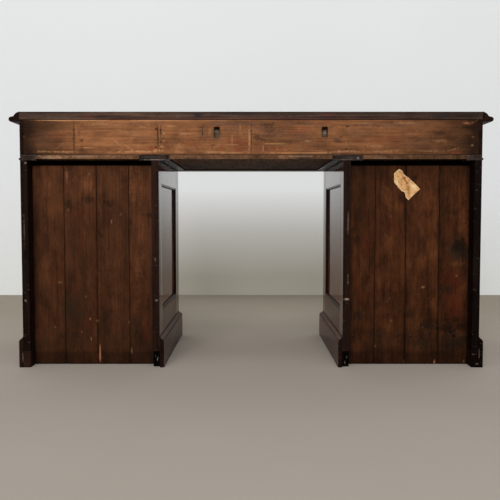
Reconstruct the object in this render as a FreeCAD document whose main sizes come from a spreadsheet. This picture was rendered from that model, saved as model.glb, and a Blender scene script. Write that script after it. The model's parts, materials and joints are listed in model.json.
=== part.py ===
# A Victorian pedestal desk that comes apart in three: a top case with three frieze drawers,
# and two pedestals with three drawers each. The case sides are framed and panelled mahogany,
# the backs are nailed pine boards, and every drawer is dovetailed.
# Millimetres. X runs along the desk, the drawers face -Y, the boarded back faces +Y,
# Z is up and the floor is Z = 0. Right is the +X side, to the right of someone at the desk.
import FreeCAD, Part
import Sketcher
import math
import os
from types import SimpleNamespace

SIZES = {
    # Whole desk
    "desk_height": 775,
    "case_width": 1391,
    "case_depth": 560,
    "kneehole_width": 557,
    "edge_overhang": 32,
    # Writing top
    "slab_thickness": 23,
    "edge_moulding_height": 30,
    "leather_border": 72,
    "leather_thickness": 1.5,
    "leather_gap": 0.3,
    # Top case
    "frieze_height": 122,
    "base_frame_thickness": 16,
    "front_rail_depth": 60,
    "frieze_top_rail_height": 14,
    "inner_cross_rail_width": 94,
    "cross_rail_reveal": 35,
    "outer_cross_rail_width": 47,
    "reed_width": 8,
    "reed_depth": 2.5,
    "dust_board_thickness": 12,
    "frieze_end_thickness": 22,
    "frieze_end_lip": 12,
    "divider_thickness": 20,
    "frieze_back_thickness": 18,
    "frieze_back_arris": 2,
    "slot_width": 18,
    "slot_height": 32,
    "slot_corner": 3,
    "slot_drop": 22,
    "right_slot_place": 103,
    "left_slot_place": 221.5,
    "base_bead_height": 7,
    # Pedestal sides
    "side_thickness": 22,
    "side_foot_height": 50,
    "front_stile_width": 85,
    "rear_stile_width": 68,
    "top_rail_width": 68,
    "bottom_rail_width": 118,
    "tenon_thickness": 8,
    "tenon_length": 30,
    "tenon_shoulder": 10,
    "tenon_setback": 5,
    "panel_thickness": 7,
    "panel_rebate": 8,
    "panel_gap": 0.3,
    "panel_moulding_width": 16.5,
    "panel_moulding_setback": 1,
    # Pedestal inside and back
    "carcase_board_thickness": 18,
    "carcase_board_base": 86,
    "back_board_thickness": 12,
    "back_board_recess": 45,
    "back_board_joint": 1,
    "back_board_lift": 2,
    "back_board_top_lap": 5,
    "drawer_rail_height": 16,
    "rail_stub": 6,
    "rail_stub_depth": 40,
    "runner_width": 25,
    # Plinth
    "plinth_projection": 12.5,
    "plinth_board_height": 81.5,
    "plinth_cap_height": 12.5,
    "foot_block_length": 45,
    # Drawers
    "front_thickness": 20,
    "front_lap": 6,
    "cock_bead_width": 3,
    "cock_bead_projection": 2,
    "drawer_side_thickness": 10,
    "drawer_back_thickness": 10,
    "drawer_bottom_thickness": 6.4,
    "groove_height": 7,
    "groove_depth": 5,
    "groove_lift": 9,
    "groove_gap": 0.3,
    "drawer_side_gap": 0.8,
    "drawer_top_gap": 1.2,
    "running_gap": 0.3,
    "side_top_drop": 4,
    "drawer_rear_gap": 12,
    # Knobs
    "knob_radius": 19,
    "knob_length": 27,
    # Drawer locks
    "lock_width": 60,
    "lock_height": 34,
    "lock_thickness": 10,
    "bolt_width": 18,
    "bolt_thickness": 4,
    "bolt_height": 20,
    "bolt_gap": 0.3,
    "bolt_drop": 1,
    "bolt_travel": 7,
    "mortise_depth": 8.5,
    "keyhole_radius": 2.5,
    "keyhole_slot_width": 3,
    "keyhole_slot_length": 8,
    "keyhole_drop": 20,
    # Reach of a cut past the wood that it goes through
    "overrun": 5,
}

# How the room in a pedestal is shared between its drawers, from the bottom one up
DRAWER_HEIGHT_SHARES = (0.374, 0.332, 0.294)
# How a pedestal's back is shared between its boards, from the outer side inwards
BACK_BOARD_SHARES = (0.268, 0.268, 0.268, 0.196)
# Where the two knobs stand across a drawer front
KNOB_PLACE_SHARES = (0.22, 0.78)
# A knob's turned outline: radius as a share of its radius, height as a share of its length
KNOB_OUTLINE_SHARES = (
    (0.56, 0.0),
    (0.40, 0.18),
    (0.44, 0.38),
    (0.92, 0.58),
    (1.0, 0.72),
    (0.84, 0.92),
    (0.40, 1.0),
)
# Flat blanks that a knob is cut from; it has twice as many sides
KNOB_BLANKS = 8
# A tail's half width at its root, as a share of the spacing of the tails, and its slope
TAIL_ROOT_SHARE = 0.30
TAIL_SLOPE_SHARE = 1 / 6

doc = FreeCAD.newDocument("PedestalDesk")
sheet = doc.addObject("Spreadsheet::Sheet", "Sizes")
for row, (alias, number) in enumerate(SIZES.items(), start=1):
    sheet.set(f"A{row}", alias.replace("_", " "))
    sheet.set(f"B{row}", str(number))
    sheet.setAlias(f"B{row}", alias)
doc.recompute()


class Length:
    """A length that knows its number and the formula on the sheet that gives it."""

    def __init__(self, value, formula):
        self.value = value
        self.formula = formula

    def __add__(self, other):
        return Length(self.value + other.value, f"({self.formula} + {other.formula})")

    def __sub__(self, other):
        return Length(self.value - other.value, f"({self.formula} - {other.formula})")

    def __neg__(self):
        return Length(-self.value, f"(-1 * {self.formula})")

    def __mul__(self, share):
        return Length(self.value * share, f"({self.formula} * {share:.9g})")

    def __truediv__(self, count):
        return Length(self.value / count, f"({self.formula} / {count:.9g})")


ZERO = Length(0.0, "0")
size = SimpleNamespace(**{name: Length(float(n), f"Sizes.{name}") for name, n in SIZES.items()})


def chord(start, end):
    """The straight distance between two outline points."""
    run = end[0] - start[0]
    rise = end[1] - start[1]
    formula = f"sqrt(pow({run.formula}; 2) + pow({rise.formula}; 2))"
    return Length(math.hypot(run.value, rise.value), formula)


def bind(thing, path, length):
    """Ties one property to the sheet."""
    thing.setExpression(path, length.formula)


def place(thing, corner, turn=None):
    """Puts a piece where its corner belongs, turned first if the piece needs it."""
    if turn is not None:
        thing.Placement = FreeCAD.Placement(FreeCAD.Vector(), turn)
    for axis, length in zip("xyz", corner):
        bind(thing, f".Placement.Base.{axis}", length)
    return thing


def board(name, low, high):
    """A squared board between its lowest and highest corners."""
    piece = doc.addObject("Part::Box", name)
    for side, a, b in zip(("Length", "Width", "Height"), low, high):
        bind(piece, side, b - a)
    return place(piece, low)


def fused(name, pieces):
    piece = doc.addObject("Part::MultiFuse", name)
    piece.Shapes = pieces
    return piece


def cut(name, base, tools):
    """Wood with other pieces let into it, or with cuts taken out of it."""
    piece = doc.addObject("Part::Cut", name)
    piece.Base = base
    piece.Tool = tools[0] if len(tools) == 1 else fused(name + "_tools", tools)
    return piece


def mirrored(name, source, at=ZERO):
    """The same piece made for the other hand, across the upright plane X = at."""
    piece = doc.addObject("Part::Mirroring", name)
    piece.Source = source
    piece.Normal = (1, 0, 0)
    bind(piece, "Base.x", at)
    return piece


def copied(name, source, corner, turn=None):
    """One more of the same piece, in its own place."""
    piece = doc.addObject("App::Link", name)
    piece.LinkedObject = source
    return place(piece, corner, turn)


def origin_plane(body, role):
    return next(plane for plane in body.Origin.OriginFeatures if plane.Role == role)


def outline(body, name, role, points):
    """A closed sketch. A point is (x, y), or (x, y, turn) at the end of an arc that turns so far."""
    sketch = body.newObject("Sketcher::SketchObject", name)
    sketch.AttachmentSupport = [(origin_plane(body, role), "")]
    sketch.MapMode = "FlatFace"
    add_loop(sketch, points)
    return sketch


def add_loop(sketch, points):
    """Draws one closed loop in a sketch and ties each of its corners to the sheet."""
    first = sketch.GeometryCount
    count = len(points)
    ends = []
    arcs = []
    for i, start in enumerate(points):
        end = points[(i + 1) % count]
        a = FreeCAD.Vector(start[0].value, start[1].value, 0)
        b = FreeCAD.Vector(end[0].value, end[1].value, 0)
        turn = end[2] if len(end) > 2 else 0
        if turn == 0:
            sketch.addGeometry(Part.LineSegment(a, b), False)
            ends.append((1, 2))
            continue
        half = math.radians(turn) / 2
        span = chord(start, end)
        radius = span / (2 * math.sin(abs(half)))
        across = b - a
        left = FreeCAD.Vector(-across.y, across.x, 0)
        middle = (a + b) / 2 - left * (math.tan(half / 2) / 2)
        sketch.addGeometry(Part.Arc(a, middle, b), False)
        ends.append((1, 2) if turn > 0 else (2, 1))
        arcs.append((first + i, radius))
    for i in range(count):
        following = (i + 1) % count
        pair = (first + i, ends[i][1], first + following, ends[following][0])
        sketch.addConstraint(Sketcher.Constraint("Coincident", *pair))
    for i, point in enumerate(points):
        for kind, length in (("DistanceX", point[0]), ("DistanceY", point[1])):
            corner = (-1, 1, first + i, ends[i][0], length.value)
            number = sketch.addConstraint(Sketcher.Constraint(kind, *corner))
            if length is not ZERO:
                bind(sketch, f"Constraints[{number}]", length)
    for arc, radius in arcs:
        number = sketch.addConstraint(Sketcher.Constraint("Radius", arc, radius.value))
        bind(sketch, f"Constraints[{number}]", radius)


def pad(body, sketch, length, name="pad"):
    feature = body.newObject("PartDesign::Pad", name)
    feature.Profile = sketch
    bind(feature, "Length", length)
    return feature


def pocket_through(body, sketch, name="pocket"):
    """A cut right through the body, both ways from its sketch."""
    feature = body.newObject("PartDesign::Pocket", name)
    feature.Profile = sketch
    feature.Type = "ThroughAll"
    feature.SideType = "Symmetric"
    return feature


def repeated(body, feature, axis_role, spacing, count, name):
    """A row of equal features along one of the body's origin axes."""
    if count < 2:
        return feature
    axis = next(line for line in body.Origin.OriginFeatures if line.Role == axis_role)
    row = body.newObject("PartDesign::LinearPattern", name)
    row.Originals = [feature]
    row.Direction = (axis, [""])
    row.Occurrences = count
    bind(row, "Length", spacing * (count - 1))
    body.Tip = row
    return row


nodes = []


def node(name, pieces):
    """A named sub-part made of one piece, or of a group of like pieces."""
    group = doc.addObject("Part::Compound", "node_" + name)
    group.Label = name
    group.Links = pieces
    nodes.append(group)
    return group


def turned_to(x_axis, y_axis, z_axis):
    """The turn that lays a piece's own axes along three directions of the desk."""
    return FreeCAD.Rotation(*(FreeCAD.Vector(*axis) for axis in (x_axis, y_axis, z_axis)), "XYZ")


# Planes that the pieces share
half_case = size.case_width / 2
half_kneehole = size.kneehole_width / 2
half_depth = (size.case_depth + size.edge_overhang) / 2
rear = half_depth
front = half_depth - size.case_depth
slab_base = size.desk_height - size.slab_thickness
pedestal_top = slab_base - size.frieze_height
base_frame_top = pedestal_top + size.base_frame_thickness


# Mouldings: straight lengths of one section, mitred where they meet
def moulding_length(name, section, run, width, mitres):
    """A length of moulding along X, with its heel on Y = 0 from X = 0 to X = run.

    mitres gives each end: outer where it goes round an outside corner, inner in a frame,
    and square where it stops.
    """
    body = doc.addObject("PartDesign::Body", name)
    grow = [width if mitre == "outer" else ZERO for mitre in mitres]
    sketch = outline(body, name + "_section", "YZ_Plane", section)
    bind(sketch, "AttachmentOffset.Base.z", -grow[0])
    pad(body, sketch, run + grow[0] + grow[1], name + "_run")
    past = width + size.overrun
    for number, mitre in enumerate(mitres):
        if mitre == "square":
            continue
        if mitre == "outer":
            wedge = [(size.overrun, -size.overrun), (-past, past), (-past, -size.overrun)]
        else:
            wedge = [(-size.overrun, -size.overrun), (past, past), (-size.overrun, past)]
        if number == 1:
            wedge = [(run - x, y) for x, y in wedge]
        saw = outline(body, f"{name}_saw_{number}", "XY_Plane", wedge)
        pocket_through(body, saw, f"{name}_mitre_{number}")
    return body


def moulding_round_case(name, section, width, left, right, base):
    """A moulding along the front and both ends of a case, mitred at the two front corners."""
    depth = size.case_depth
    front_run = moulding_length(name + "_front", section, right - left, width, ("outer", "outer"))
    place(front_run, (right, front, base), turned_to((-1, 0, 0), (0, -1, 0), (0, 0, 1)))
    right_run = moulding_length(name + "_right", section, depth, width, ("square", "outer"))
    place(right_run, (right, rear, base), turned_to((0, -1, 0), (1, 0, 0), (0, 0, 1)))
    left_run = moulding_length(name + "_left", section, depth, width, ("outer", "square"))
    place(left_run, (left, front, base), turned_to((0, 1, 0), (-1, 0, 0), (0, 0, 1)))
    return [front_run, right_run, left_run]


# Writing top: a slab with a shallow bed for the leather, and a moulded edge on three sides
def make_top():
    slab = board(
        "slab", (-half_case, front, slab_base), (half_case, rear, size.desk_height)
    )
    reach = half_case - size.leather_border
    front_edge = front + size.leather_border
    rear_edge = rear - size.leather_border
    bed_floor = size.desk_height - size.leather_thickness
    bed = board(
        "leather_bed",
        (-reach, front_edge, bed_floor),
        (reach, rear_edge, size.desk_height + size.overrun),
    )
    node("top_slab", [cut("bedded_slab", slab, [bed])])
    gap = size.leather_gap
    leather = board(
        "leather",
        (-reach + gap, front_edge + gap, bed_floor),
        (reach - gap, rear_edge - gap, size.desk_height),
    )
    node("writing_leather", [leather])
    width = size.edge_overhang
    height = size.edge_moulding_height
    nose = height / 4
    section = [
        (ZERO, ZERO),
        (width - nose, ZERO),
        (width, nose, 90),
        (width - nose, nose * 2, 90),
        (width * 0.54, height * 0.56),
        (ZERO, height, 55),
    ]
    base = size.desk_height - height
    lengths = moulding_round_case("top_edge", section, width, -half_case, half_case, base)
    node("top_edge_moulding", lengths)


# Top case: ends, dividers, rails and dust boards round three drawers, and a pine back
def make_top_case():
    end_inside = half_case - size.frieze_end_thickness
    end_blank = board(
        "frieze_end_blank",
        (end_inside, front, base_frame_top),
        (half_case, rear, slab_base),
    )
    back_face = rear - size.frieze_back_thickness
    back_reach = half_case - size.frieze_end_lip
    rebate = board(
        "frieze_end_rebate",
        (end_inside - size.overrun, back_face, base_frame_top - size.overrun),
        (back_reach, rear + size.overrun, slab_base + size.overrun),
    )
    right_end = cut("frieze_end", end_blank, [rebate])
    node("right_frieze_end", [right_end])
    node("left_frieze_end", [mirrored("frieze_end_other", right_end)])

    back = doc.addObject("PartDesign::Body", "frieze_back")
    height = slab_base - base_frame_top
    arris = size.frieze_back_arris
    profile = [
        (ZERO, ZERO),
        (size.frieze_back_thickness, ZERO),
        (size.frieze_back_thickness, height - arris),
        (size.frieze_back_thickness - arris, height),
        (ZERO, height),
    ]
    sketch = outline(back, "frieze_back_section", "YZ_Plane", profile)
    pad(back, sketch, back_reach * 2, "frieze_back_length")
    slot_top = height - size.slot_drop
    corner = size.slot_corner
    for side, place_from_middle in (("left", -size.left_slot_place), ("right", size.right_slot_place)):
        middle = back_reach + place_from_middle
        x0 = middle - size.slot_width / 2
        x1 = middle + size.slot_width / 2
        z0 = slot_top - size.slot_height
        mouth = [
            (x0 + corner, z0),
            (x1 - corner, z0),
            (x1, z0 + corner, 90),
            (x1, slot_top - corner),
            (x1 - corner, slot_top, 90),
            (x0 + corner, slot_top),
            (x0, slot_top - corner, 90),
            (x0, z0 + corner),
        ]
        mouth[0] = (x0 + corner, z0, 90)
        opening = outline(back, f"{side}_slot_mouth", "XZ_Plane", mouth)
        pocket_through(back, opening, f"{side}_slot")
    place(back, (-back_reach, back_face, base_frame_top))
    node("frieze_back_board", [back])

    rail_rear = front + size.front_rail_depth
    rail_base = slab_base - size.frieze_top_rail_height
    top_rail_blank = board(
        "frieze_top_rail_blank",
        (-end_inside, front, rail_base),
        (end_inside, rail_rear, slab_base),
    )
    mortises = []
    for name, middle in frieze_drawer_middles():
        half_bolt = size.bolt_width / 2 + size.bolt_gap
        bolt_front = front + size.front_thickness - size.lock_thickness + lock_bolt_inset()
        mortises.append(
            board(
                f"{name}_bolt_mortise",
                (middle - half_bolt, bolt_front - size.bolt_gap, rail_base - size.overrun),
                (
                    middle + half_bolt,
                    bolt_front + size.bolt_thickness + size.bolt_gap,
                    rail_base + size.mortise_depth,
                ),
            )
        )
    top_rail = cut("frieze_top_rail", top_rail_blank, mortises)
    bottom_rail = board(
        "frieze_bottom_rail",
        (-half_case, front, pedestal_top),
        (half_case, rail_rear, base_frame_top),
    )
    node("frieze_front_rails", [top_rail, bottom_rail])

    divider_blank = board(
        "divider_blank",
        (half_kneehole, front, base_frame_top),
        (half_kneehole + size.divider_thickness, back_face, slab_base),
    )
    divider = cut("divider", divider_blank, [top_rail_blank])
    node("frieze_dividers", [divider, mirrored("divider_other", divider)])

    inner_rail = doc.addObject("PartDesign::Body", "inner_cross_rail")
    reed = size.reed_width
    depth = size.reed_depth
    thick = size.base_frame_thickness
    wide = size.inner_cross_rail_width
    profile = [
        (ZERO, thick),
        (ZERO, depth),
        (depth, depth),
        (depth + reed, depth, 100),
        (depth + reed * 2, depth, 100),
        (depth + reed * 3, depth, 100),
        (depth + reed * 3, ZERO),
        (wide, ZERO),
        (wide, thick),
    ]
    sketch = outline(inner_rail, "inner_cross_rail_section", "XZ_Plane", profile)
    pad(inner_rail, sketch, size.case_depth - size.front_rail_depth, "inner_cross_rail_length")
    inner_edge = half_kneehole - size.cross_rail_reveal
    place(inner_rail, (inner_edge, rear, pedestal_top))
    outer_edge = half_case - size.outer_cross_rail_width
    outer_rail = board(
        "outer_cross_rail",
        (outer_edge, rail_rear, pedestal_top),
        (half_case, rear, base_frame_top),
    )
    rails = [inner_rail, outer_rail]
    rails += [mirrored(rail.Name + "_other", rail) for rail in (inner_rail, outer_rail)]
    node("frieze_cross_rails", rails)

    dust_base = base_frame_top - size.dust_board_thickness
    middle_board = board(
        "middle_dust_board",
        (-inner_edge, rail_rear, dust_base),
        (inner_edge, rear, base_frame_top),
    )
    right_board = board(
        "right_dust_board",
        (inner_edge + wide, rail_rear, dust_base),
        (outer_edge, rear, base_frame_top),
    )
    node(
        "frieze_dust_boards",
        [middle_board, right_board, mirrored("left_dust_board", right_board)],
    )

    bead = size.base_bead_height
    section = [(ZERO, ZERO), (bead / 2, bead / 2, 90), (ZERO, bead, 90)]
    lengths = moulding_round_case(
        "base_bead", section, bead / 2, -half_case, half_case, pedestal_top
    )
    node("frieze_base_bead", lengths)


def frieze_drawer_middles():
    """The three frieze drawers, with the middle of each along the desk."""
    side_middle = (
        half_kneehole
        + size.divider_thickness
        + half_case
        - size.frieze_end_thickness
    ) / 2
    return (("left", -side_middle), ("centre", ZERO), ("right", side_middle))


def lock_bolt_inset():
    """How far behind the lock's front face its bolt runs."""
    return (size.lock_thickness - size.bolt_thickness) / 2


# One pedestal, made for the right hand and mirrored for the left
def make_pedestals():
    inside = half_kneehole + size.side_thickness
    outside = half_case - size.side_thickness
    middle = (half_kneehole + half_case) / 2
    foot = size.side_foot_height
    boards_rear = rear - size.back_board_recess
    boards_front = boards_rear - size.back_board_thickness

    # Drawer rails and runners between the three drawers
    board_base = size.carcase_board_base
    bottom_board_top = board_base + size.carcase_board_thickness
    top_board_base = pedestal_top - size.carcase_board_thickness
    room = top_board_base - bottom_board_top - size.drawer_rail_height * 2
    openings = []
    rails = []
    rail_rear = front + size.front_rail_depth
    floor = bottom_board_top
    for level, share in enumerate(DRAWER_HEIGHT_SHARES):
        ceiling = floor + room * share
        openings.append((floor, ceiling))
        if level == len(DRAWER_HEIGHT_SHARES) - 1:
            break
        floor = ceiling + size.drawer_rail_height
        rail = board(f"rail_blank_{level}", (inside, front, ceiling), (outside, rail_rear, floor))
        stub = board(
            f"rail_stub_{level}",
            (inside - size.rail_stub, rail_rear - size.rail_stub_depth, ceiling),
            (outside + size.rail_stub, rail_rear, floor),
        )
        rails.append(fused(f"drawer_rail_{level}", [rail, stub]))
    runners = []
    for level, (rail_floor, rail_ceiling) in enumerate(openings[1:]):
        low = rail_floor - size.drawer_rail_height
        runner = board(
            f"runner_{level}",
            (inside, rail_rear, low),
            (inside + size.runner_width, boards_front, rail_floor),
        )
        runners += [runner, mirrored(f"runner_{level}_other", runner, middle)]

    # Framed side towards the kneehole; its face is at X = half_kneehole
    opening_front = front + size.front_stile_width
    opening_rear = rear - size.rear_stile_width
    opening_base = foot + size.bottom_rail_width
    opening_top = pedestal_top - size.top_rail_width
    panel_face = inside - size.panel_thickness
    lap = size.panel_rebate
    panel_bed = board(
        "panel_bed",
        (panel_face, opening_front - lap, opening_base - lap),
        (inside + size.overrun, opening_rear + lap, opening_top + lap),
    )
    tenon_face = half_kneehole + size.tenon_setback
    side_rails = []
    for name, low, high in (
        ("bottom", foot, opening_base),
        ("top", opening_top, pedestal_top),
    ):
        blank = board(
            f"{name}_side_rail_blank",
            (half_kneehole, opening_front, low),
            (inside, opening_rear, high),
        )
        tenons = board(
            f"{name}_side_rail_tenons",
            (tenon_face, opening_front - size.tenon_length, low + size.tenon_shoulder),
            (
                tenon_face + size.tenon_thickness,
                opening_rear + size.tenon_length,
                high - size.tenon_shoulder,
            ),
        )
        joined = fused(f"{name}_side_rail_tenoned", [blank, tenons])
        side_rails.append(cut(f"{name}_side_rail", joined, [panel_bed]))
    front_stile_blank = board(
        "front_stile_blank",
        (half_kneehole, front, foot),
        (inside, opening_front, pedestal_top),
    )
    rear_stile_blank = board(
        "rear_stile_blank",
        (half_kneehole, opening_rear, foot),
        (inside, rear, pedestal_top),
    )
    front_stile = cut("front_stile", front_stile_blank, [panel_bed] + side_rails + rails)
    rear_stile = cut("rear_stile", rear_stile_blank, [panel_bed] + side_rails)
    frame = doc.addObject("Part::Compound", "side_frame")
    frame.Links = [front_stile, rear_stile] + side_rails

    fit = lap - size.panel_gap
    panel = board(
        "side_panel",
        (panel_face, opening_front - fit, opening_base - fit),
        (inside, opening_rear + fit, opening_top + fit),
    )

    # Moulding planted round the panel, with its thick edge just below the frame's face
    width = size.panel_moulding_width
    height = panel_face - half_kneehole - size.panel_moulding_setback
    section = [
        (ZERO, ZERO),
        (width, ZERO),
        (width, height * 0.18),
        (width * 0.46, height * 0.52, -70),
        (width * 0.40, height * 0.52),
        (width * 0.40, height * 0.68),
        (width * 0.08, height, 70),
        (ZERO, height),
    ]
    inner = ("inner", "inner")
    level_run = opening_rear - opening_front
    upright_run = opening_top - opening_base
    bottom_bar = moulding_length("panel_bar", section, level_run, width, inner)
    place(
        bottom_bar,
        (panel_face, opening_rear, opening_base),
        turned_to((0, -1, 0), (0, 0, 1), (-1, 0, 0)),
    )
    top_bar = moulding_length("panel_bar_top", section, level_run, width, inner)
    place(
        top_bar,
        (panel_face, opening_front, opening_top),
        turned_to((0, 1, 0), (0, 0, -1), (-1, 0, 0)),
    )
    front_bar = moulding_length("panel_upright", section, upright_run, width, inner)
    place(
        front_bar,
        (panel_face, opening_front, opening_base),
        turned_to((0, 0, 1), (0, 1, 0), (-1, 0, 0)),
    )
    rear_bar = moulding_length("panel_upright_rear", section, upright_run, width, inner)
    place(
        rear_bar,
        (panel_face, opening_rear, opening_top),
        turned_to((0, 0, -1), (0, -1, 0), (-1, 0, 0)),
    )
    bars = doc.addObject("Part::Compound", "panel_bars")
    bars.Links = [bottom_bar, top_bar, front_bar, rear_bar]

    # Top and bottom of the carcase
    carcase_boards = [
        board("pedestal_bottom", (inside, front, board_base), (outside, boards_front, bottom_board_top)),
        board("pedestal_top", (inside, front, top_board_base), (outside, boards_front, pedestal_top)),
    ]

    # Back boards, from the outer side inwards, the last one ripped narrower
    backs = []
    edge = outside
    joint = size.back_board_joint / 2
    boards_top = top_board_base + size.back_board_top_lap
    last = len(BACK_BOARD_SHARES) - 1
    for number, share in enumerate(BACK_BOARD_SHARES):
        far = edge - (outside - inside) * share
        low_x = inside if number == last else far + joint
        high_x = edge if number == 0 else edge - joint
        backs.append(
            board(
                f"back_board_{number}",
                (low_x, boards_front, size.back_board_lift),
                (high_x, boards_rear, boards_top),
            )
        )
        edge = far

    # Plinth round the front and sides, and the blocks that the stiles stand on
    base = size.plinth_board_height
    cap = size.plinth_cap_height
    step = size.plinth_projection
    section = [
        (ZERO, ZERO),
        (step, ZERO),
        (step, base),
        (step * 0.88, base),
        (step * 0.5, base + cap * 0.52, 60),
        (step * 0.12, base + cap * 0.92, -60),
        (step * 0.12, base + cap),
        (ZERO, base + cap),
    ]
    plinth = moulding_round_case("plinth", section, step, half_kneehole, half_case, ZERO)
    block = size.foot_block_length
    front_block = board(
        "front_foot_block", (half_kneehole, front, ZERO), (inside, front + block, foot)
    )
    rear_block = board(
        "rear_foot_block", (outside, rear - block, ZERO), (half_case, rear, foot)
    )
    plinth += [front_block, mirrored("front_foot_block_outer", front_block, middle), rear_block]

    outer_frame = mirrored("outer_frame", frame, middle)
    outer_panel = mirrored("outer_panel", panel, middle)
    outer_bars = mirrored("outer_bars", bars, middle)
    pieces = {
        "inner_side_frame": [frame],
        "outer_side_frame": [outer_frame],
        "side_panels": [panel, outer_panel],
        "panel_mouldings": [bars, outer_bars],
        "back_boards": backs,
        "carcase_boards": carcase_boards,
        "drawer_rails": rails + runners,
        "plinth": plinth,
    }
    for name, parts in pieces.items():
        right = node(f"right_{name}", parts)
        node(f"left_{name}", [mirrored(f"other_{name}", right)])
    return inside, outside, boards_front, openings


# A drawer: a beaded front, two sides with tails cut into them, a back and a bottom
def make_drawer(name, left, right, low, high, rear_end, tails, locked):
    """Makes a drawer for one opening and gives its front, the pieces of its box and its middle."""
    middle = (left + right) / 2
    x0 = left + size.drawer_side_gap
    x1 = right - size.drawer_side_gap
    z0 = low + size.running_gap
    z1 = high - size.drawer_top_gap
    back_of_front = front + size.front_thickness

    blank = doc.addObject("PartDesign::Body", name + "_front_blank")
    wide = x1 - x0
    tall = z1 - z0
    face = outline(blank, name + "_face", "XZ_Plane", rectangle(ZERO, ZERO, wide, tall))
    pad(blank, face, size.front_thickness, name + "_thickness")
    bead = size.cock_bead_width
    ring = outline(blank, name + "_bead_line", "XZ_Plane", rectangle(ZERO, ZERO, wide, tall))
    add_loop(ring, rectangle(bead, bead, wide - bead, tall - bead))
    pad(blank, ring, size.front_thickness + size.cock_bead_projection, name + "_cock_bead")
    place(blank, (x0, back_of_front, z0))

    # The side that stands at the low X end, its outer face on X = 0 and its foot on Z = 0
    side = doc.addObject("PartDesign::Body", name + "_side_body")
    side_tall = tall - size.side_top_drop
    back_inside = rear_end - size.drawer_back_thickness
    core_run = back_inside - back_of_front
    core = outline(side, name + "_side_core", "YZ_Plane", rectangle(ZERO, ZERO, core_run, side_tall))
    pad(side, core, size.drawer_side_thickness, name + "_side_thickness")
    tail_reach = size.front_thickness - size.front_lap
    pitch = side_tall / tails
    add_tails(side, name + "_front", ZERO, -tail_reach, ZERO, pitch, tails)
    back_low = size.groove_lift + size.groove_height
    back_pitch = (side_tall - back_low) / (tails - 1)
    reach = size.drawer_back_thickness
    add_tails(side, name + "_rear", core_run, reach, back_low, back_pitch, tails - 1)
    groove = outline(
        side,
        name + "_side_groove",
        "XZ_Plane",
        rectangle(
            size.drawer_side_thickness - size.groove_depth,
            size.groove_lift,
            size.drawer_side_thickness + size.overrun,
            back_low,
        ),
    )
    pocket_through(side, groove, name + "_side_groove_cut")
    place(side, (x0, back_of_front, z0))
    other_side = mirrored(name + "_other_side", side, middle)

    inner_x0 = x0 + size.drawer_side_thickness - size.groove_depth
    inner_x1 = x1 - size.drawer_side_thickness + size.groove_depth
    groove_front = back_of_front - size.groove_depth
    groove_base = z0 + size.groove_lift
    front_groove = board(
        name + "_front_groove",
        (inner_x0, groove_front, groove_base),
        (inner_x1, back_of_front + size.overrun, groove_base + size.groove_height),
    )
    tools = [side, other_side, front_groove]
    if locked:
        tools += lock_cuts(name, middle, z1)
    finished_front = cut(name + "_finished_front", blank, tools)

    back_blank = board(
        name + "_back_blank",
        (x0, back_inside, z0 + back_low),
        (x1, rear_end, z0 + side_tall),
    )
    back = cut(name + "_back", back_blank, [side, other_side])

    gap = size.groove_gap
    floor = groove_base + gap
    bottom = board(
        name + "_bottom",
        (inner_x0 + gap, groove_front + gap, floor),
        (inner_x1 - gap, rear_end, floor + size.drawer_bottom_thickness),
    )
    return finished_front, [side, other_side, back, bottom], middle


def rectangle(x0, y0, x1, y1):
    return [(x0, y0), (x1, y0), (x1, y1), (x0, y1)]


def add_tails(side, name, edge, reach, low, pitch, count):
    """Dovetails along one end of a drawer side: a tail is padded, then repeated up the end."""
    root = pitch * TAIL_ROOT_SHARE
    outward = reach if reach.value > 0 else -reach
    tip = root + outward * TAIL_SLOPE_SHARE
    centre = low + pitch / 2
    tail = [
        (edge, centre - root),
        (edge + reach, centre - tip),
        (edge + reach, centre + tip),
        (edge, centre + root),
    ]
    if reach.value < 0:
        tail.reverse()
    sketch = outline(side, name + "_tail", "YZ_Plane", tail)
    feature = pad(side, sketch, size.drawer_side_thickness, name + "_tail_pad")
    repeated(side, feature, "Z_Axis", pitch, count, name + "_tails")


def lock_cuts(name, middle, top):
    """The bed of the lock in the back of a drawer front, and the keyhole through to it."""
    back_of_front = front + size.front_thickness
    half = size.lock_width / 2
    bed = board(
        name + "_lock_bed",
        (middle - half, back_of_front - size.lock_thickness, top - size.lock_height),
        (middle + half, back_of_front + size.overrun, top + size.overrun),
    )
    pin = doc.addObject("Part::Cylinder", name + "_keyhole_round")
    bind(pin, "Radius", size.keyhole_radius)
    bind(pin, "Height", size.front_thickness + size.cock_bead_projection + size.overrun)
    pin_height = top - size.keyhole_drop
    along = turned_to((1, 0, 0), (0, 0, 1), (0, -1, 0))
    place(pin, (middle, back_of_front, pin_height), along)
    half_slot = size.keyhole_slot_width / 2
    slot = board(
        name + "_keyhole_slot",
        (middle - half_slot, front - size.overrun, pin_height - size.keyhole_slot_length),
        (middle + half_slot, back_of_front, pin_height),
    )
    return [bed, pin, slot]


def make_lock():
    """A drawer lock and its bolt, standing on X = 0 with the lock's top edge on Z = 0."""
    half = size.lock_width / 2
    case_blank = board(
        "lock_blank", (-half, ZERO, -size.lock_height), (half, size.lock_thickness, ZERO)
    )
    inset = lock_bolt_inset()
    gap = size.bolt_gap
    half_bolt = size.bolt_width / 2
    bolt_top = -size.bolt_drop
    bolt_base = bolt_top - size.bolt_height
    way = board(
        "bolt_way",
        (-half_bolt - gap, inset - gap, bolt_base - gap),
        (half_bolt + gap, inset + size.bolt_thickness + gap, size.overrun),
    )
    case = cut("lock_case", case_blank, [way])
    bolt_bar = board(
        "bolt_bar",
        (-half_bolt, inset, bolt_base),
        (half_bolt, inset + size.bolt_thickness, bolt_top),
    )
    bolt = doc.addObject("Part::Compound", "lock_bolt")
    bolt.Links = [bolt_bar]
    return case, bolt


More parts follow.
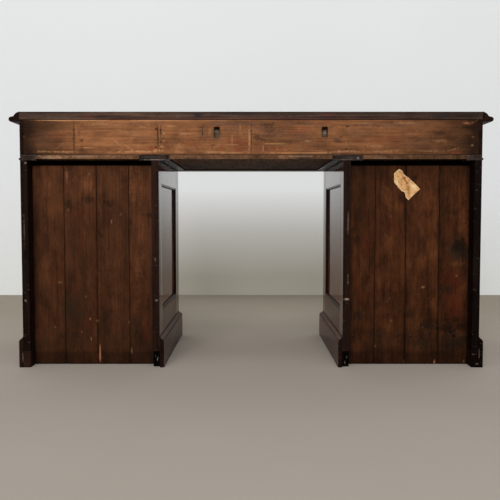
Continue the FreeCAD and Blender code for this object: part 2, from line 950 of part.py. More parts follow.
def make_knob():
    """A turned knob standing on Z = 0, as what blanks cut to its outline have in common."""
    edge = [
        (size.knob_radius * across, size.knob_length * up) for across, up in KNOB_OUTLINE_SHARES
    ]
    other_edge = [(-across, up) for across, up in reversed(edge)]
    blank = doc.addObject("PartDesign::Body", "knob_blank")
    sketch = outline(blank, "knob_outline", "XZ_Plane", edge + other_edge)
    feature = pad(blank, sketch, size.knob_radius * 2 + size.overrun, "knob_blank_width")
    feature.SideType = "Symmetric"
    blanks = [blank]
    for number in range(1, KNOB_BLANKS):
        turn = FreeCAD.Rotation(FreeCAD.Vector(0, 0, 1), 180 * number / KNOB_BLANKS)
        blanks.append(copied(f"knob_blank_{number}", blank, (ZERO, ZERO, ZERO), turn))
    knob = doc.addObject("Part::MultiCommon", "knob")
    knob.Shapes = blanks
    return knob


def make_drawers(inside, outside, boards_front, openings):
    knob = make_knob()
    lock_case, lock_bolt = make_lock()
    facing_out = turned_to((1, 0, 0), (0, 0, 1), (0, -1, 0))

    def knobs_for(name, left, right, low, high):
        middle_height = (low + high) / 2
        pair = []
        for number, share in enumerate(KNOB_PLACE_SHARES):
            across = left + (right - left) * share
            spot = (across, front, middle_height)
            pair.append(copied(f"{name}_knob_{number}", knob, spot, facing_out))
        return pair

    # Frieze drawers, each with a lock
    frieze_rear = rear - size.frieze_back_thickness - size.drawer_rear_gap
    frieze_ceiling = slab_base - size.frieze_top_rail_height
    side_left = half_kneehole + size.divider_thickness
    side_right = half_case - size.frieze_end_thickness
    spans = {"centre": (-half_kneehole, half_kneehole), "right": (side_left, side_right)}
    made = {}
    for hand, (left, right) in spans.items():
        name = f"{hand}_frieze_drawer"
        low, high = base_frame_top, frieze_ceiling
        parts = make_drawer(name, left, right, low, high, frieze_rear, 3, True)
        made[hand] = parts[:2] + (knobs_for(name, left, right, low, high),)
    for hand, (front_piece, box, knobs) in made.items():
        groups = {"front": [front_piece], "box": box, "knobs": knobs}
        for kind, pieces in groups.items():
            made_node = node(f"{hand}_frieze_drawer_{kind}", pieces)
            if hand == "right":
                other = mirrored(f"other_frieze_{kind}", made_node)
                node(f"left_frieze_drawer_{kind}", [other])
    for hand, middle in frieze_drawer_middles():
        lock_front = front + size.front_thickness - size.lock_thickness
        corner = (middle, lock_front, frieze_ceiling - size.drawer_top_gap)
        name = f"{hand}_frieze_drawer_lock"
        node(name, [copied(name + "_case", lock_case, corner)])
        node(name + "_bolt", [copied(name + "_bolt_copy", lock_bolt, corner)])

    # Pedestal drawers, from the bottom one up
    rear_end = boards_front - size.drawer_rear_gap
    for level, tails, (low, high) in zip(("bottom", "middle", "top"), (5, 4, 4), openings):
        name = f"right_{level}_drawer"
        parts = make_drawer(name, inside, outside, low, high, rear_end, tails, False)
        knobs = knobs_for(name, inside, outside, low, high)
        groups = {"front": [parts[0]], "box": parts[1], "knobs": knobs}
        for kind, pieces in groups.items():
            right = node(f"{name}_{kind}", pieces)
            node(f"left_{level}_drawer_{kind}", [mirrored(f"other_{level}_{kind}", right)])


make_top()
make_top_case()
make_drawers(*make_pedestals())
doc.recompute()

for thing in doc.Objects:
    if "Invalid" in thing.State or "Error" in thing.State:
        raise RuntimeError(f"{thing.Label} did not build: {thing.State}")
os.makedirs("parts", exist_ok=True)
for part in nodes:
    shape = part.Shape
    if shape.isNull() or not shape.isValid() or not shape.Solids:
        raise RuntimeError(f"{part.Label} has no valid solid")
for part in nodes:
    part.Shape.exportStep(os.path.join("parts", part.Label + ".step"))
    box = part.Shape.BoundBox
    print(f"{part.Label:32s} solids {len(part.Shape.Solids)}  volume {part.Shape.Volume:12.1f}"
          f"  x {box.XMin:8.1f} {box.XMax:8.1f}  y {box.YMin:8.1f} {box.YMax:8.1f}"
          f"  z {box.ZMin:7.1f} {box.ZMax:7.1f}")
print(len(nodes), "nodes")
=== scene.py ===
import json
import math
import random

import bmesh
import bpy
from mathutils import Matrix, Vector, noise

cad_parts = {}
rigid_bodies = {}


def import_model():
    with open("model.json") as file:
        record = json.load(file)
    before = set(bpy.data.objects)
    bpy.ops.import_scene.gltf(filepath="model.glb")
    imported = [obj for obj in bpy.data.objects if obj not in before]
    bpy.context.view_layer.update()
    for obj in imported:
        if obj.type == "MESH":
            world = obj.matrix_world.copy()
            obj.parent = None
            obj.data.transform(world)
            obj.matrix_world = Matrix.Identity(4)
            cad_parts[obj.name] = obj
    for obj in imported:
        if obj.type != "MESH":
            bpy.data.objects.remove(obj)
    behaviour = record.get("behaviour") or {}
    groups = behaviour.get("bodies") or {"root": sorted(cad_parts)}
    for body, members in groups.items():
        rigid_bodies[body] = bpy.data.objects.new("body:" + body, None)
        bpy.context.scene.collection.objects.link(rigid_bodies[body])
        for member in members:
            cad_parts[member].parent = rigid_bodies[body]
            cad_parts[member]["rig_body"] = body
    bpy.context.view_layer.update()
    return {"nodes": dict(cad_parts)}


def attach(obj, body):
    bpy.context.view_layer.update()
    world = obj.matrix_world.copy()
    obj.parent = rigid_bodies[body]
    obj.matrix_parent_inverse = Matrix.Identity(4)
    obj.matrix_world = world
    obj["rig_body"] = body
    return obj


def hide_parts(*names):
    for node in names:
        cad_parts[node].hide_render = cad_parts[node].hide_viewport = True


for thing in list(bpy.data.objects):
    bpy.data.objects.remove(thing)
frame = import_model()


# The room: a plain grey-brown floor and a pale wall beyond the kneehole, which the polished
# sides mirror. One large soft lamp stands behind the camera, a weaker one faces the drawers,
# and the pale surroundings fill the shadows.
WALL_DISTANCE = 1.57
WALL_WIDTH = 12.0
WALL_HEIGHT = 5.0
FLOOR_RADIUS = 9.0
WALL_COLOUR = (243, 247, 249)
WALL_SHADOW_COLOUR = (214, 210, 196)
FLOOR_COLOUR = (184, 175, 164)
FLOOR_SHADE_COLOUR = (166, 157, 142)
SURROUNDINGS_COLOUR = (219, 222, 221)
SURROUNDINGS_LIGHT = 0.33


def paint(red, green, blue):
    """A colour as it looks on a screen, 0 to 255, as the shader takes it."""
    steps = [value / 255 for value in (red, green, blue)]
    return [s / 12.92 if s < 0.04045 else ((s + 0.055) / 1.055) ** 2.4 for s in steps] + [1.0]


def put(tree, kind, takes=None, **settings):
    """Adds a shader node. What it takes is linked where it is a socket, and set where it isn't."""
    made = tree.nodes.new("ShaderNode" + kind)
    for name, value in settings.items():
        setattr(made, name, value)
    for name, value in (takes or {}).items():
        if isinstance(value, bpy.types.NodeSocket):
            tree.links.new(value, made.inputs[name])
        else:
            made.inputs[name].default_value = value
    return made


def mix(tree, share, first, second):
    """The first colour turning into the second by the share."""
    return put(tree, "Mix", {0: share, 6: first, 7: second}, data_type="RGBA").outputs[2]


def sum_of(tree, first, second, operation="MULTIPLY", clamp=False):
    """One step of arithmetic on two values."""
    return put(tree, "Math", {0: first, 1: second}, operation=operation, use_clamp=clamp).outputs[0]


def stretch(tree, value, low, high, to_low=0.0, to_high=1.0):
    """The value's range from low to high, stretched to another range and held inside it."""
    takes = {"Value": value, "From Min": low, "From Max": high}
    takes.update({"To Min": to_low, "To Max": to_high})
    return put(tree, "MapRange", takes).outputs["Result"]


def stretched_noise(tree, place, scales, detail, roughness=0.5):
    """Noise with a scale of its own along each of the three ways."""
    scaled = put(tree, "VectorMath", {0: place, 1: scales}, operation="MULTIPLY").outputs[0]
    takes = {"Vector": scaled, "Scale": 1.0, "Detail": detail, "Roughness": roughness}
    return put(tree, "TexNoise", takes).outputs


def raise_by(tree, shader, height, strength, distance):
    """Lets a value stand up as fine relief."""
    bump = put(tree, "Bump", {"Strength": strength, "Distance": distance, "Height": height})
    tree.links.new(bump.outputs["Normal"], shader.inputs["Normal"])


def finish_named(name):
    """A new material, its node tree and its shader."""
    material = bpy.data.materials.new(name)
    material.use_nodes = True
    tree = material.node_tree
    return material, tree, tree.nodes["Principled BSDF"]


def new_object(name, points, faces):
    """An object in the scene made of these points and faces."""
    mesh = bpy.data.meshes.new(name)
    mesh.from_pydata(points, [], faces)
    made = bpy.data.objects.new(name, mesh)
    bpy.context.scene.collection.objects.link(made)
    return made


rim = [2 * math.pi * k / 64 for k in range(64)]
floor = new_object(
    "floor",
    [(FLOOR_RADIUS * math.cos(a), FLOOR_RADIUS * math.sin(a), 0) for a in rim],
    [list(range(64))],
)
half_wall = WALL_WIDTH / 2
wall = new_object(
    "wall",
    [
        (half_wall, -WALL_DISTANCE, 0),
        (-half_wall, -WALL_DISTANCE, 0),
        (-half_wall, -WALL_DISTANCE, WALL_HEIGHT),
        (half_wall, -WALL_DISTANCE, WALL_HEIGHT),
    ],
    [[0, 1, 2, 3]],
)

floor_finish, tree, shader = finish_named("floor_paint")
place = put(tree, "NewGeometry").outputs["Position"]
mottle = put(tree, "TexNoise", {"Vector": place, "Scale": 3.0, "Detail": 3.0}).outputs["Fac"]
floor_tone = mix(tree, mottle, paint(*[c - 5 for c in FLOOR_COLOUR]), paint(*FLOOR_COLOUR))
# Painted shade: the floor is drawn darker from under the desk's rear towards the wall.
inward = stretch(tree, put(tree, "SeparateXYZ", {0: place}).outputs["Y"], 0.2, -0.9)
floor_tone = mix(tree, inward, floor_tone, paint(*FLOOR_SHADE_COLOUR))
tree.links.new(floor_tone, shader.inputs["Base Color"])
shader.inputs["Roughness"].default_value = 0.9
shader.inputs["Specular IOR Level"].default_value = 0.0
floor.data.materials.append(floor_finish)

wall_finish, tree, shader = finish_named("wall_paint")
place = put(tree, "NewGeometry").outputs["Position"]
mottle = put(tree, "TexNoise", {"Vector": place, "Scale": 1.5, "Detail": 2.0}).outputs["Fac"]
wall_tone = mix(tree, mottle, paint(*[c - 3 for c in WALL_COLOUR]), paint(*WALL_COLOUR))
wall_place = put(tree, "SeparateXYZ", {0: place}).outputs
# Painted shadow of the desk: the wall is drawn darker towards the floor behind the desk.
downward = stretch(tree, wall_place["Z"], 0.6, 0.1)
sideways = sum_of(tree, wall_place["X"], 0.0, "ABSOLUTE")
desk_shadow_share = stretch(tree, sideways, 1.15, 0.7, 0.2, 1.0)
wall_tone = mix(tree, sum_of(tree, downward, desk_shadow_share), wall_tone, paint(*WALL_SHADOW_COLOUR))
tree.links.new(wall_tone, shader.inputs["Base Color"])
shader.inputs["Roughness"].default_value = 0.9
seen_from_behind = put(tree, "NewGeometry").outputs["Backfacing"]
clear = put(tree, "BsdfTransparent").outputs[0]
wall_or_clear = put(
    tree, "MixShader", {0: seen_from_behind, 1: shader.outputs[0], 2: clear}
).outputs[0]
tree.links.new(wall_or_clear, tree.nodes["Material Output"].inputs["Surface"])
wall.data.materials.append(wall_finish)

world = bpy.data.worlds.new("surroundings")
world.use_nodes = True
bpy.context.scene.world = world
tree = world.node_tree
lit_by = tree.nodes["Background"]
lit_by.inputs["Color"].default_value = paint(250, 250, 255)
lit_by.inputs["Strength"].default_value = SURROUNDINGS_LIGHT
seen_as = put(tree, "Background", {"Color": paint(*SURROUNDINGS_COLOUR), "Strength": 1.0})
rays = put(tree, "LightPath").outputs
seen = sum_of(tree, rays["Is Camera Ray"], rays["Is Glossy Ray"], "MAXIMUM")
seen = sum_of(tree, seen, rays["Is Transmission Ray"], "MAXIMUM")
sky = put(tree, "MixShader", {0: seen, 1: lit_by.outputs[0], 2: seen_as.outputs[0]}).outputs[0]
tree.links.new(sky, tree.nodes["World Output"].inputs["Surface"])


LAMP_COLOUR = (255, 254, 252)


def hang_lamp(name, place, aim, width, height, power):
    """A soft lamp, turned to what it lights."""
    light = bpy.data.lights.new(name, "AREA")
    light.shape = "RECTANGLE"
    light.size = width
    light.size_y = height
    light.energy = power
    light.color = paint(*LAMP_COLOUR)[:3]
    lamp = bpy.data.objects.new(name, light)
    bpy.context.scene.collection.objects.link(lamp)
    lamp.location = place
    lamp.rotation_euler = (Vector(aim) - Vector(place)).to_track_quat("-Z", "Y").to_euler()
    return lamp


hang_lamp("lamp_behind_camera", (1.2, 12.0, 4.6), (0, 0, 0.4), 7.0, 4.5, 990)
hang_lamp("lamp_overhead", (0.2, 2.4, 5.5), (0, 0.9, 0), 3.4, 3.0, 58)
hang_lamp("lamp_in_front", (-0.8, -4.4, 3.4), (0, 0, 0.4), 3.2, 2.2, 70)

CAMERA_PLACE = (0.00325, 2.365, 0.4695)
CAMERA_PITCH = 3.04
CAMERA_LENS = 49.25

camera_data = bpy.data.cameras.new("camera")
camera_data.lens = CAMERA_LENS
camera_data.sensor_width = 36.0
camera = bpy.data.objects.new("camera", camera_data)
bpy.context.scene.collection.objects.link(camera)
camera.location = CAMERA_PLACE
camera.rotation_euler = (math.radians(90 - CAMERA_PITCH), 0, math.pi)
bpy.context.scene.camera = camera
bpy.context.scene.view_settings.view_transform = "Standard"


# The top's slab is one wide mahogany board, stained dark and polished, with a bed sunk for
# the leather. It is planed from the solid and screwed down to the case. Its plain rear edge is
# dull, and its grey colour is partly handling and partly painted sheen.
SHARP = math.radians(25)
STILL_FLAT = math.radians(0.5)
SMOOTHED_BELOW = math.radians(38)
ON_THE_LINE = 1e-7


def boards_of(node):
    """The boards of a CAD node, each as a mesh of its own: a board's faces follow one another,
    and it is complete once every edge has met its second face."""
    mesh = frame["nodes"][node].data
    whole = bmesh.new()
    whole.from_mesh(mesh)
    whole.verts.ensure_lookup_table()
    met = bmesh.ops.find_doubles(whole, verts=whole.verts[:], dist=2e-6)["targetmap"]
    corner = list(range(len(whole.verts)))
    for twin, kept in met.items():
        corner[twin.index] = kept.index
    boards = []
    faces = []
    waiting = set()
    for face in mesh.polygons:
        ring = [corner[i] for i in face.vertices]
        faces.append(ring)
        for a, b in zip(ring, ring[1:] + ring[:1]):
            waiting ^= {(min(a, b), max(a, b))}
        if not waiting:
            boards.append(joined_faces(mesh, faces))
            faces = []
    if faces:
        boards.append(joined_faces(mesh, faces))
    whole.free()
    return boards


def joined_faces(mesh, faces):
    """A mesh of these faces, with the flat ones that meet made into one."""
    board = bmesh.new()
    made = {}
    for ring in faces:
        for i in ring:
            if i not in made:
                made[i] = board.verts.new(mesh.vertices[i].co)
        if len(set(ring)) == len(ring):
            board.faces.new([made[i] for i in ring])
    bmesh.ops.dissolve_limit(
        board, angle_limit=STILL_FLAT, verts=board.verts[:], edges=board.edges[:]
    )
    return board


def soften(board, width):
    """Rounds a board's sharp edges by a width, as a pass of the plane and years of hands do."""
    sharp = [e for e in board.edges if e.is_manifold and e.calc_face_angle(0) > SHARP]
    bmesh.ops.bevel(
        board,
        geom=sharp,
        offset=width,
        segments=2,
        profile=0.5,
        affect="EDGES",
        clamp_overlap=True,
    )


def box_of(board):
    """A board's lowest and highest corner."""
    low = [min(v.co[axis] for v in board.verts) for axis in range(3)]
    high = [max(v.co[axis] for v in board.verts) for axis in range(3)]
    return low, high


def all_of(board):
    """Every corner, edge and face of a board."""
    return board.verts[:] + board.edges[:] + board.faces[:]


def rear_faces(board):
    """The faces of a board that look to the rear, with their edges and corners."""
    faces = [f for f in board.faces if f.normal.y > 0.9]
    edges = {e for f in faces for e in f.edges}
    return list({v for f in faces for v in f.verts}) + list(edges) + faces


def on_axis(axis, amount):
    """A step of this length along one axis."""
    step = Vector((0, 0, 0))
    step[axis] = amount
    return step


def ramp(value, start, width):
    """0 up to the start, then rising to 1 over a width."""
    return min(1.0, max(0.0, (value - start) / width))


def cross(board, geometry, place, facing):
    """Crosses these faces of a board with a line, where a plane at the place cuts them."""
    bmesh.ops.bisect_plane(
        board, geom=geometry, dist=ON_THE_LINE, plane_co=place, plane_no=facing
    )


def mark_out(board, steps, only_rear=False):
    """Crosses a board with fine lines, so that it can take marks and a little unevenness."""
    low, high = box_of(board)
    for axis, step in enumerate(steps):
        if not step:
            continue
        count = max(1, round((high[axis] - low[axis]) / step))
        for k in range(1, count):
            line = Vector(low)
            line[axis] = low[axis] + (high[axis] - low[axis]) * k / count
            cross(board, rear_faces(board) if only_rear else all_of(board), line, on_axis(axis, 1))


# A mark on a board's rear face: its kind, where its middle is (X and Z), half its length and
# half its height, its lean in degrees, its strength, and how ragged its edge is.
STAINED, SCRAPED, REDDENED, GREASED, WARMED = range(5)
# How coarse and how fine the tatters of a mark's edge are, per metre
COARSE_TATTERS = 160
FINE_TATTERS = 420
MARK_FADE = 0.6


def marks_of(kind, ragged, places):
    """Marks of one kind. Each place is in millimetres: X, Z, half the length and half the
    height, then the strength and, where the mark leans, its lean in degrees."""
    found = []
    for x, z, half_long, half_high, strength, *lean in places:
        sizes = (x / 1000, z / 1000, half_long / 1000, half_high / 1000)
        found.append((kind, *sizes, lean[0] if lean else 0, strength, ragged))
    return found


def mark_value(mark, x, z):
    """How strong a mark is at a place on an upright face: 1 in its middle and 0 outside."""
    _, at_x, at_z, half_x, half_z, lean, strength, ragged = mark
    dx = x - at_x
    dz = z - at_z
    reach = 2 * max(half_x, half_z)
    if abs(dx) > reach or abs(dz) > reach:
        return 0.0
    turn = math.radians(lean)
    along = (dx * math.cos(turn) + dz * math.sin(turn)) / half_x
    up = (dz * math.cos(turn) - dx * math.sin(turn)) / half_z
    away = math.hypot(along, up)
    if away > 2:
        return 0.0
    rough = noise.noise(Vector((x * COARSE_TATTERS, 3.7, z * COARSE_TATTERS)))
    rough += noise.noise(Vector((x * FINE_TATTERS, 9.1, z * FINE_TATTERS)))
    away += ragged * rough
    share = ramp(1.0 - away, 0.0, MARK_FADE)
    return min(1.0, strength * share * share * (3 - 2 * share))


def marks_at(marks, x, z):
    """How strong each kind of mark is at a place, and how much lighter the warmed ones make it."""
    found = [0.0, 0.0, 0.0, 0.0]
    lighter = 1.0
    for mark in marks:
        value = mark_value(mark, x, z)
        if mark[0] == WARMED:
            lighter *= 1.0 + value
        else:
            found[mark[0]] = max(found[mark[0]], value)
    return found, lighter


def cut_groove(board, groove, rear):
    """Sinks a split in a board's rear face: which way it runs, where, from and to, half its
    width, its depth and how far it strays."""
    across, at, start, end, half, depth, stray = groove
    line = 2 - across
    for step in (-half, 0.0, half):
        cross(board, rear_faces(board), on_axis(across, at + step), on_axis(across, 1))
    for v in board.verts:
        away = abs(v.co[across] - at)
        if v.co.y < rear - 1e-5 or away > half + 1e-5 or not start < v.co[line] < end:
            continue
        share = (v.co[line] - start) / (end - start)
        taper = min(1.0, 6 * share, 6 * (1 - share))
        wander = noise.noise(Vector((v.co[line] * 45, at * 31, 2.0)))
        v.co[across] += stray * wander * taper
        if away < half * 0.5:
            v.co.y -= depth * taper


def lay_wood(board, draw, shade, shade_at, polish, marks, others, upright):
    """Gives every point of a board its place in the grain, its shade and its marks, and every
    face its polish and its finish."""
    low, high = box_of(board)
    lengths = [high[k] - low[k] for k in range(3)]
    along = 2 if upright else lengths.index(max(lengths))
    deep = lengths.index(min(lengths))
    across = 3 - along - deep if along != deep else (along + 1) % 3
    start = Vector((draw.uniform(0, 8), draw.uniform(-0.3, 0.3), draw.uniform(0.02, 0.12)))
    own_shade = draw.uniform(0.86, 1.12)
    if shade is None:
        shade = own_shade
    grain = board.verts.layers.float_vector.new("grain")
    tone = board.verts.layers.float.new("tone")
    stain = board.verts.layers.float_color.new("marks")
    shine = board.faces.layers.float.new("polish")
    for v in board.verts:
        place = Vector((v.co[along], v.co[across], v.co[deep]))
        v[grain] = place + start
        seen = marks if v.normal.y > 0.2 else ()
        found, lighter = marks_at(seen, v.co.x, v.co.z)
        v[tone] = shade * (shade_at(v.co) if shade_at else 1.0) * lighter
        v[stain] = found
    for face in board.faces:
        middle = face.calc_center_median()
        face[shine] = polish(face.normal, middle) if polish else 1.0
        face.smooth = True
        for place, (_, told) in enumerate(others, start=1):
            if told(face.normal, middle):
                face.material_index = place


def dress(
    node,
    finish,
    edge=0.0008,
    steps=None,
    bend=None,
    shades=None,
    shade_at=None,
    polish=None,
    marks=(),
    grooves=(),
    shrink=0.0,
    others=(),
    only_rear=False,
    boards=None,
    upright=False,
):
    """Makes the visible wood of a CAD node, or of boards with no node: softened edges, splits
    and bends, and what is laid on the boards. Each of the other finishes comes with a test that
    tells the faces it is on."""
    made = bmesh.new()
    for number, board in enumerate(boards or boards_of(node)):
        draw = random.Random(f"{node} {number}")
        if shrink:
            low, high = box_of(board)
            middle = (low[0] + high[0]) / 2
            for v in board.verts:
                v.co.x += shrink if v.co.x < middle else -shrink
        if edge:
            soften(board, edge)
        board.normal_update()
        rear = box_of(board)[1][1]
        for groove in grooves:
            cut_groove(board, groove, rear)
            board.normal_update()
        if steps:
            mark_out(board, steps, only_rear)
        if bend:
            for v in board.verts:
                v.co += bend(v.co, number)
        board.normal_update()
        shade = shades[number % len(shades)] if shades else None
        lay_wood(board, draw, shade, shade_at, polish, marks, others, upright)
        part = bpy.data.meshes.new("board")
        board.to_mesh(part)
        board.free()
        made.from_mesh(part)
        bpy.data.meshes.remove(part)
    mesh = bpy.data.meshes.new(node + "_wood")
    made.to_mesh(mesh)
    made.free()
    mesh.set_sharp_from_angle(angle=SMOOTHED_BELOW)
    piece = bpy.data.objects.new(node + "_wood", mesh)
    bpy.context.scene.collection.objects.link(piece)
    even = piece.modifiers.new("even_shading", "WEIGHTED_NORMAL")
    even.keep_sharp = True
    for one in [finish] + [other for other, _ in others]:
        mesh.materials.append(one)
    if boards:
        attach(piece, "case")
        return piece
    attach(piece, frame["nodes"][node]["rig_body"])
    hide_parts(node)
    return piece


def new_group(name, takes, gives):
    """A group of shader nodes with named inputs and outputs."""
    tree = bpy.data.node_groups.new(name, "ShaderNodeTree")
    for label, kind, value in takes:
        socket = tree.interface.new_socket(label, in_out="INPUT", socket_type="NodeSocket" + kind)
        socket.default_value = value
    for label, kind in gives:
        tree.interface.new_socket(label, in_out="OUTPUT", socket_type="NodeSocket" + kind)
    first = tree.nodes.new("NodeGroupInput")
    last = tree.nodes.new("NodeGroupOutput")
    return tree, first.outputs, last.inputs


wood_grain, takes, gives = new_group(
    "wood_grain",
    [
        ("Grain", "Vector", (0.0, 0.0, 0.0)),
        ("Rings per metre", "Float", 250.0),
        ("Waver", "Float", 0.006),
    ],
    [("Rings", "Float"), ("Fibres", "Float"), ("Pores", "Float"), ("Figure", "Float")],
)
sway = stretched_noise(wood_grain, takes["Grain"], (2.2, 14.0, 14.0), 2.0)["Color"]
centred = put(wood_grain, "VectorMath", {0: sway, 1: (0.5, 0.5, 0.5)}, operation="SUBTRACT")
swayed = put(
    wood_grain, "VectorMath", {0: centred.outputs[0], "Scale": takes["Waver"]}, operation="SCALE"
)
bent = put(wood_grain, "VectorMath", {0: takes["Grain"], 1: swayed.outputs[0]}, operation="ADD")
apart = put(wood_grain, "SeparateXYZ", {0: bent.outputs[0]}).outputs
leaning = sum_of(wood_grain, sum_of(wood_grain, apart[0], 0.035), apart[2], "ADD")
tree_place = put(wood_grain, "CombineXYZ", {0: apart[0], 1: apart[1], 2: leaning}).outputs[0]
ring_scale = sum_of(wood_grain, takes["Rings per metre"], 0.314)
ringed = put(wood_grain, "VectorMath", {0: tree_place, "Scale": ring_scale}, operation="SCALE")
rings = put(
    wood_grain,
    "TexWave",
    {"Vector": ringed.outputs[0], "Scale": 1.0, "Distortion": 0.9, "Detail": 2.0, "Detail Scale": 0.8},
    wave_type="RINGS",
    rings_direction="X",
    wave_profile="SAW",
)
wood_grain.links.new(rings.outputs["Fac"], gives["Rings"])
fibres = stretched_noise(wood_grain, takes["Grain"], (5.0, 190.0, 190.0), 5.0, 0.62)["Fac"]
wood_grain.links.new(fibres, gives["Fibres"])
pits = stretched_noise(wood_grain, takes["Grain"], (70.0, 1500.0, 1500.0), 1.0)["Fac"]
wood_grain.links.new(stretch(wood_grain, pits, 0.6, 0.7), gives["Pores"])
figure = stretched_noise(wood_grain, takes["Grain"], (3.0, 26.0, 26.0), 3.0)["Fac"]
wood_grain.links.new(figure, gives["Figure"])

patina, takes, gives = new_group(
    "patina",
    [("Grain", "Vector", (0.0, 0.0, 0.0))],
    [("Mottle", "Float"), ("Clouds", "Float"), ("Specks", "Float"), ("Scuffs", "Float")],
)
mottle = stretched_noise(patina, takes["Grain"], (18.0, 42.0, 42.0), 6.0, 0.7)["Fac"]
patina.links.new(stretch(patina, mottle, 0.3, 0.7), gives["Mottle"])
clouds = stretched_noise(patina, takes["Grain"], (7.0, 16.0, 16.0), 4.0)["Fac"]
patina.links.new(stretch(patina, clouds, 0.52, 0.7), gives["Clouds"])
specks = stretched_noise(patina, takes["Grain"], (120.0, 190.0, 190.0), 2.0)["Fac"]
patina.links.new(stretch(patina, specks, 0.64, 0.72), gives["Specks"])
skew = put(patina, "VectorRotate", {"Vector": takes["Grain"], "Angle": 0.6}, rotation_type="Z_AXIS")
scuffs = stretched_noise(patina, skew.outputs[0], (22.0, 420.0, 60.0), 2.0)["Fac"]
patina.links.new(stretch(patina, scuffs, 0.66, 0.74), gives["Scuffs"])

worn_edges, takes, gives = new_group(
    "worn_edges",
    [("Grain", "Vector", (0.0, 0.0, 0.0)), ("Reach", "Float", 0.003)],
    [("Wear", "Float")],
)
rounded = put(worn_edges, "Bevel", {"Radius": takes["Reach"]}, samples=4)
true_normal = put(worn_edges, "NewGeometry").outputs["Normal"]
facing = put(
    worn_edges, "VectorMath", {0: rounded.outputs[0], 1: true_normal}, operation="DOT_PRODUCT"
)
turned = stretch(worn_edges, facing.outputs["Value"], 0.995, 0.8)
patches = stretched_noise(worn_edges, takes["Grain"], (30.0, 90.0, 90.0), 4.0)["Fac"]
broken = stretch(worn_edges, patches, 0.4, 0.62)
worn_edges.links.new(sum_of(worn_edges, turned, broken), gives["Wear"])

# Corners and recesses, found by occlusion, take a dark colour that is partly real grime and partly
# painted shade; upward faces take dust.
grime_and_shade, takes, gives = new_group(
    "grime_and_shade",
    [("Grain", "Vector", (0.0, 0.0, 0.0)), ("Reach", "Float", 0.02)],
    [("Grime_and_shade", "Float"), ("Dust", "Float")],
)
open_air = put(grime_and_shade, "AmbientOcclusion", {"Distance": takes["Reach"]}, samples=4)
shut_in = stretch(grime_and_shade, open_air.outputs["AO"], 0.8, 0.3)
spots = put(grime_and_shade, "VectorMath", {0: takes["Grain"], "Scale": 45.0}, operation="SCALE")
blotches = put(grime_and_shade, "TexNoise", {"Vector": spots.outputs[0], "Scale": 1.0, "Detail": 4.0})
blotched = stretch(grime_and_shade, blotches.outputs["Fac"], 0.3, 0.6, 0.45, 1.0)
grime_and_shade.links.new(sum_of(grime_and_shade, shut_in, blotched), gives["Grime_and_shade"])
upward = put(grime_and_shade, "SeparateXYZ", {0: put(grime_and_shade, "NewGeometry").outputs["Normal"]}).outputs[2]
lying = stretch(grime_and_shade, upward, 0.75, 1.0)
grime_and_shade.links.new(sum_of(grime_and_shade, lying, blotched), gives["Dust"])


DUST = (120, 112, 104)
COAT_IOR = 1.45


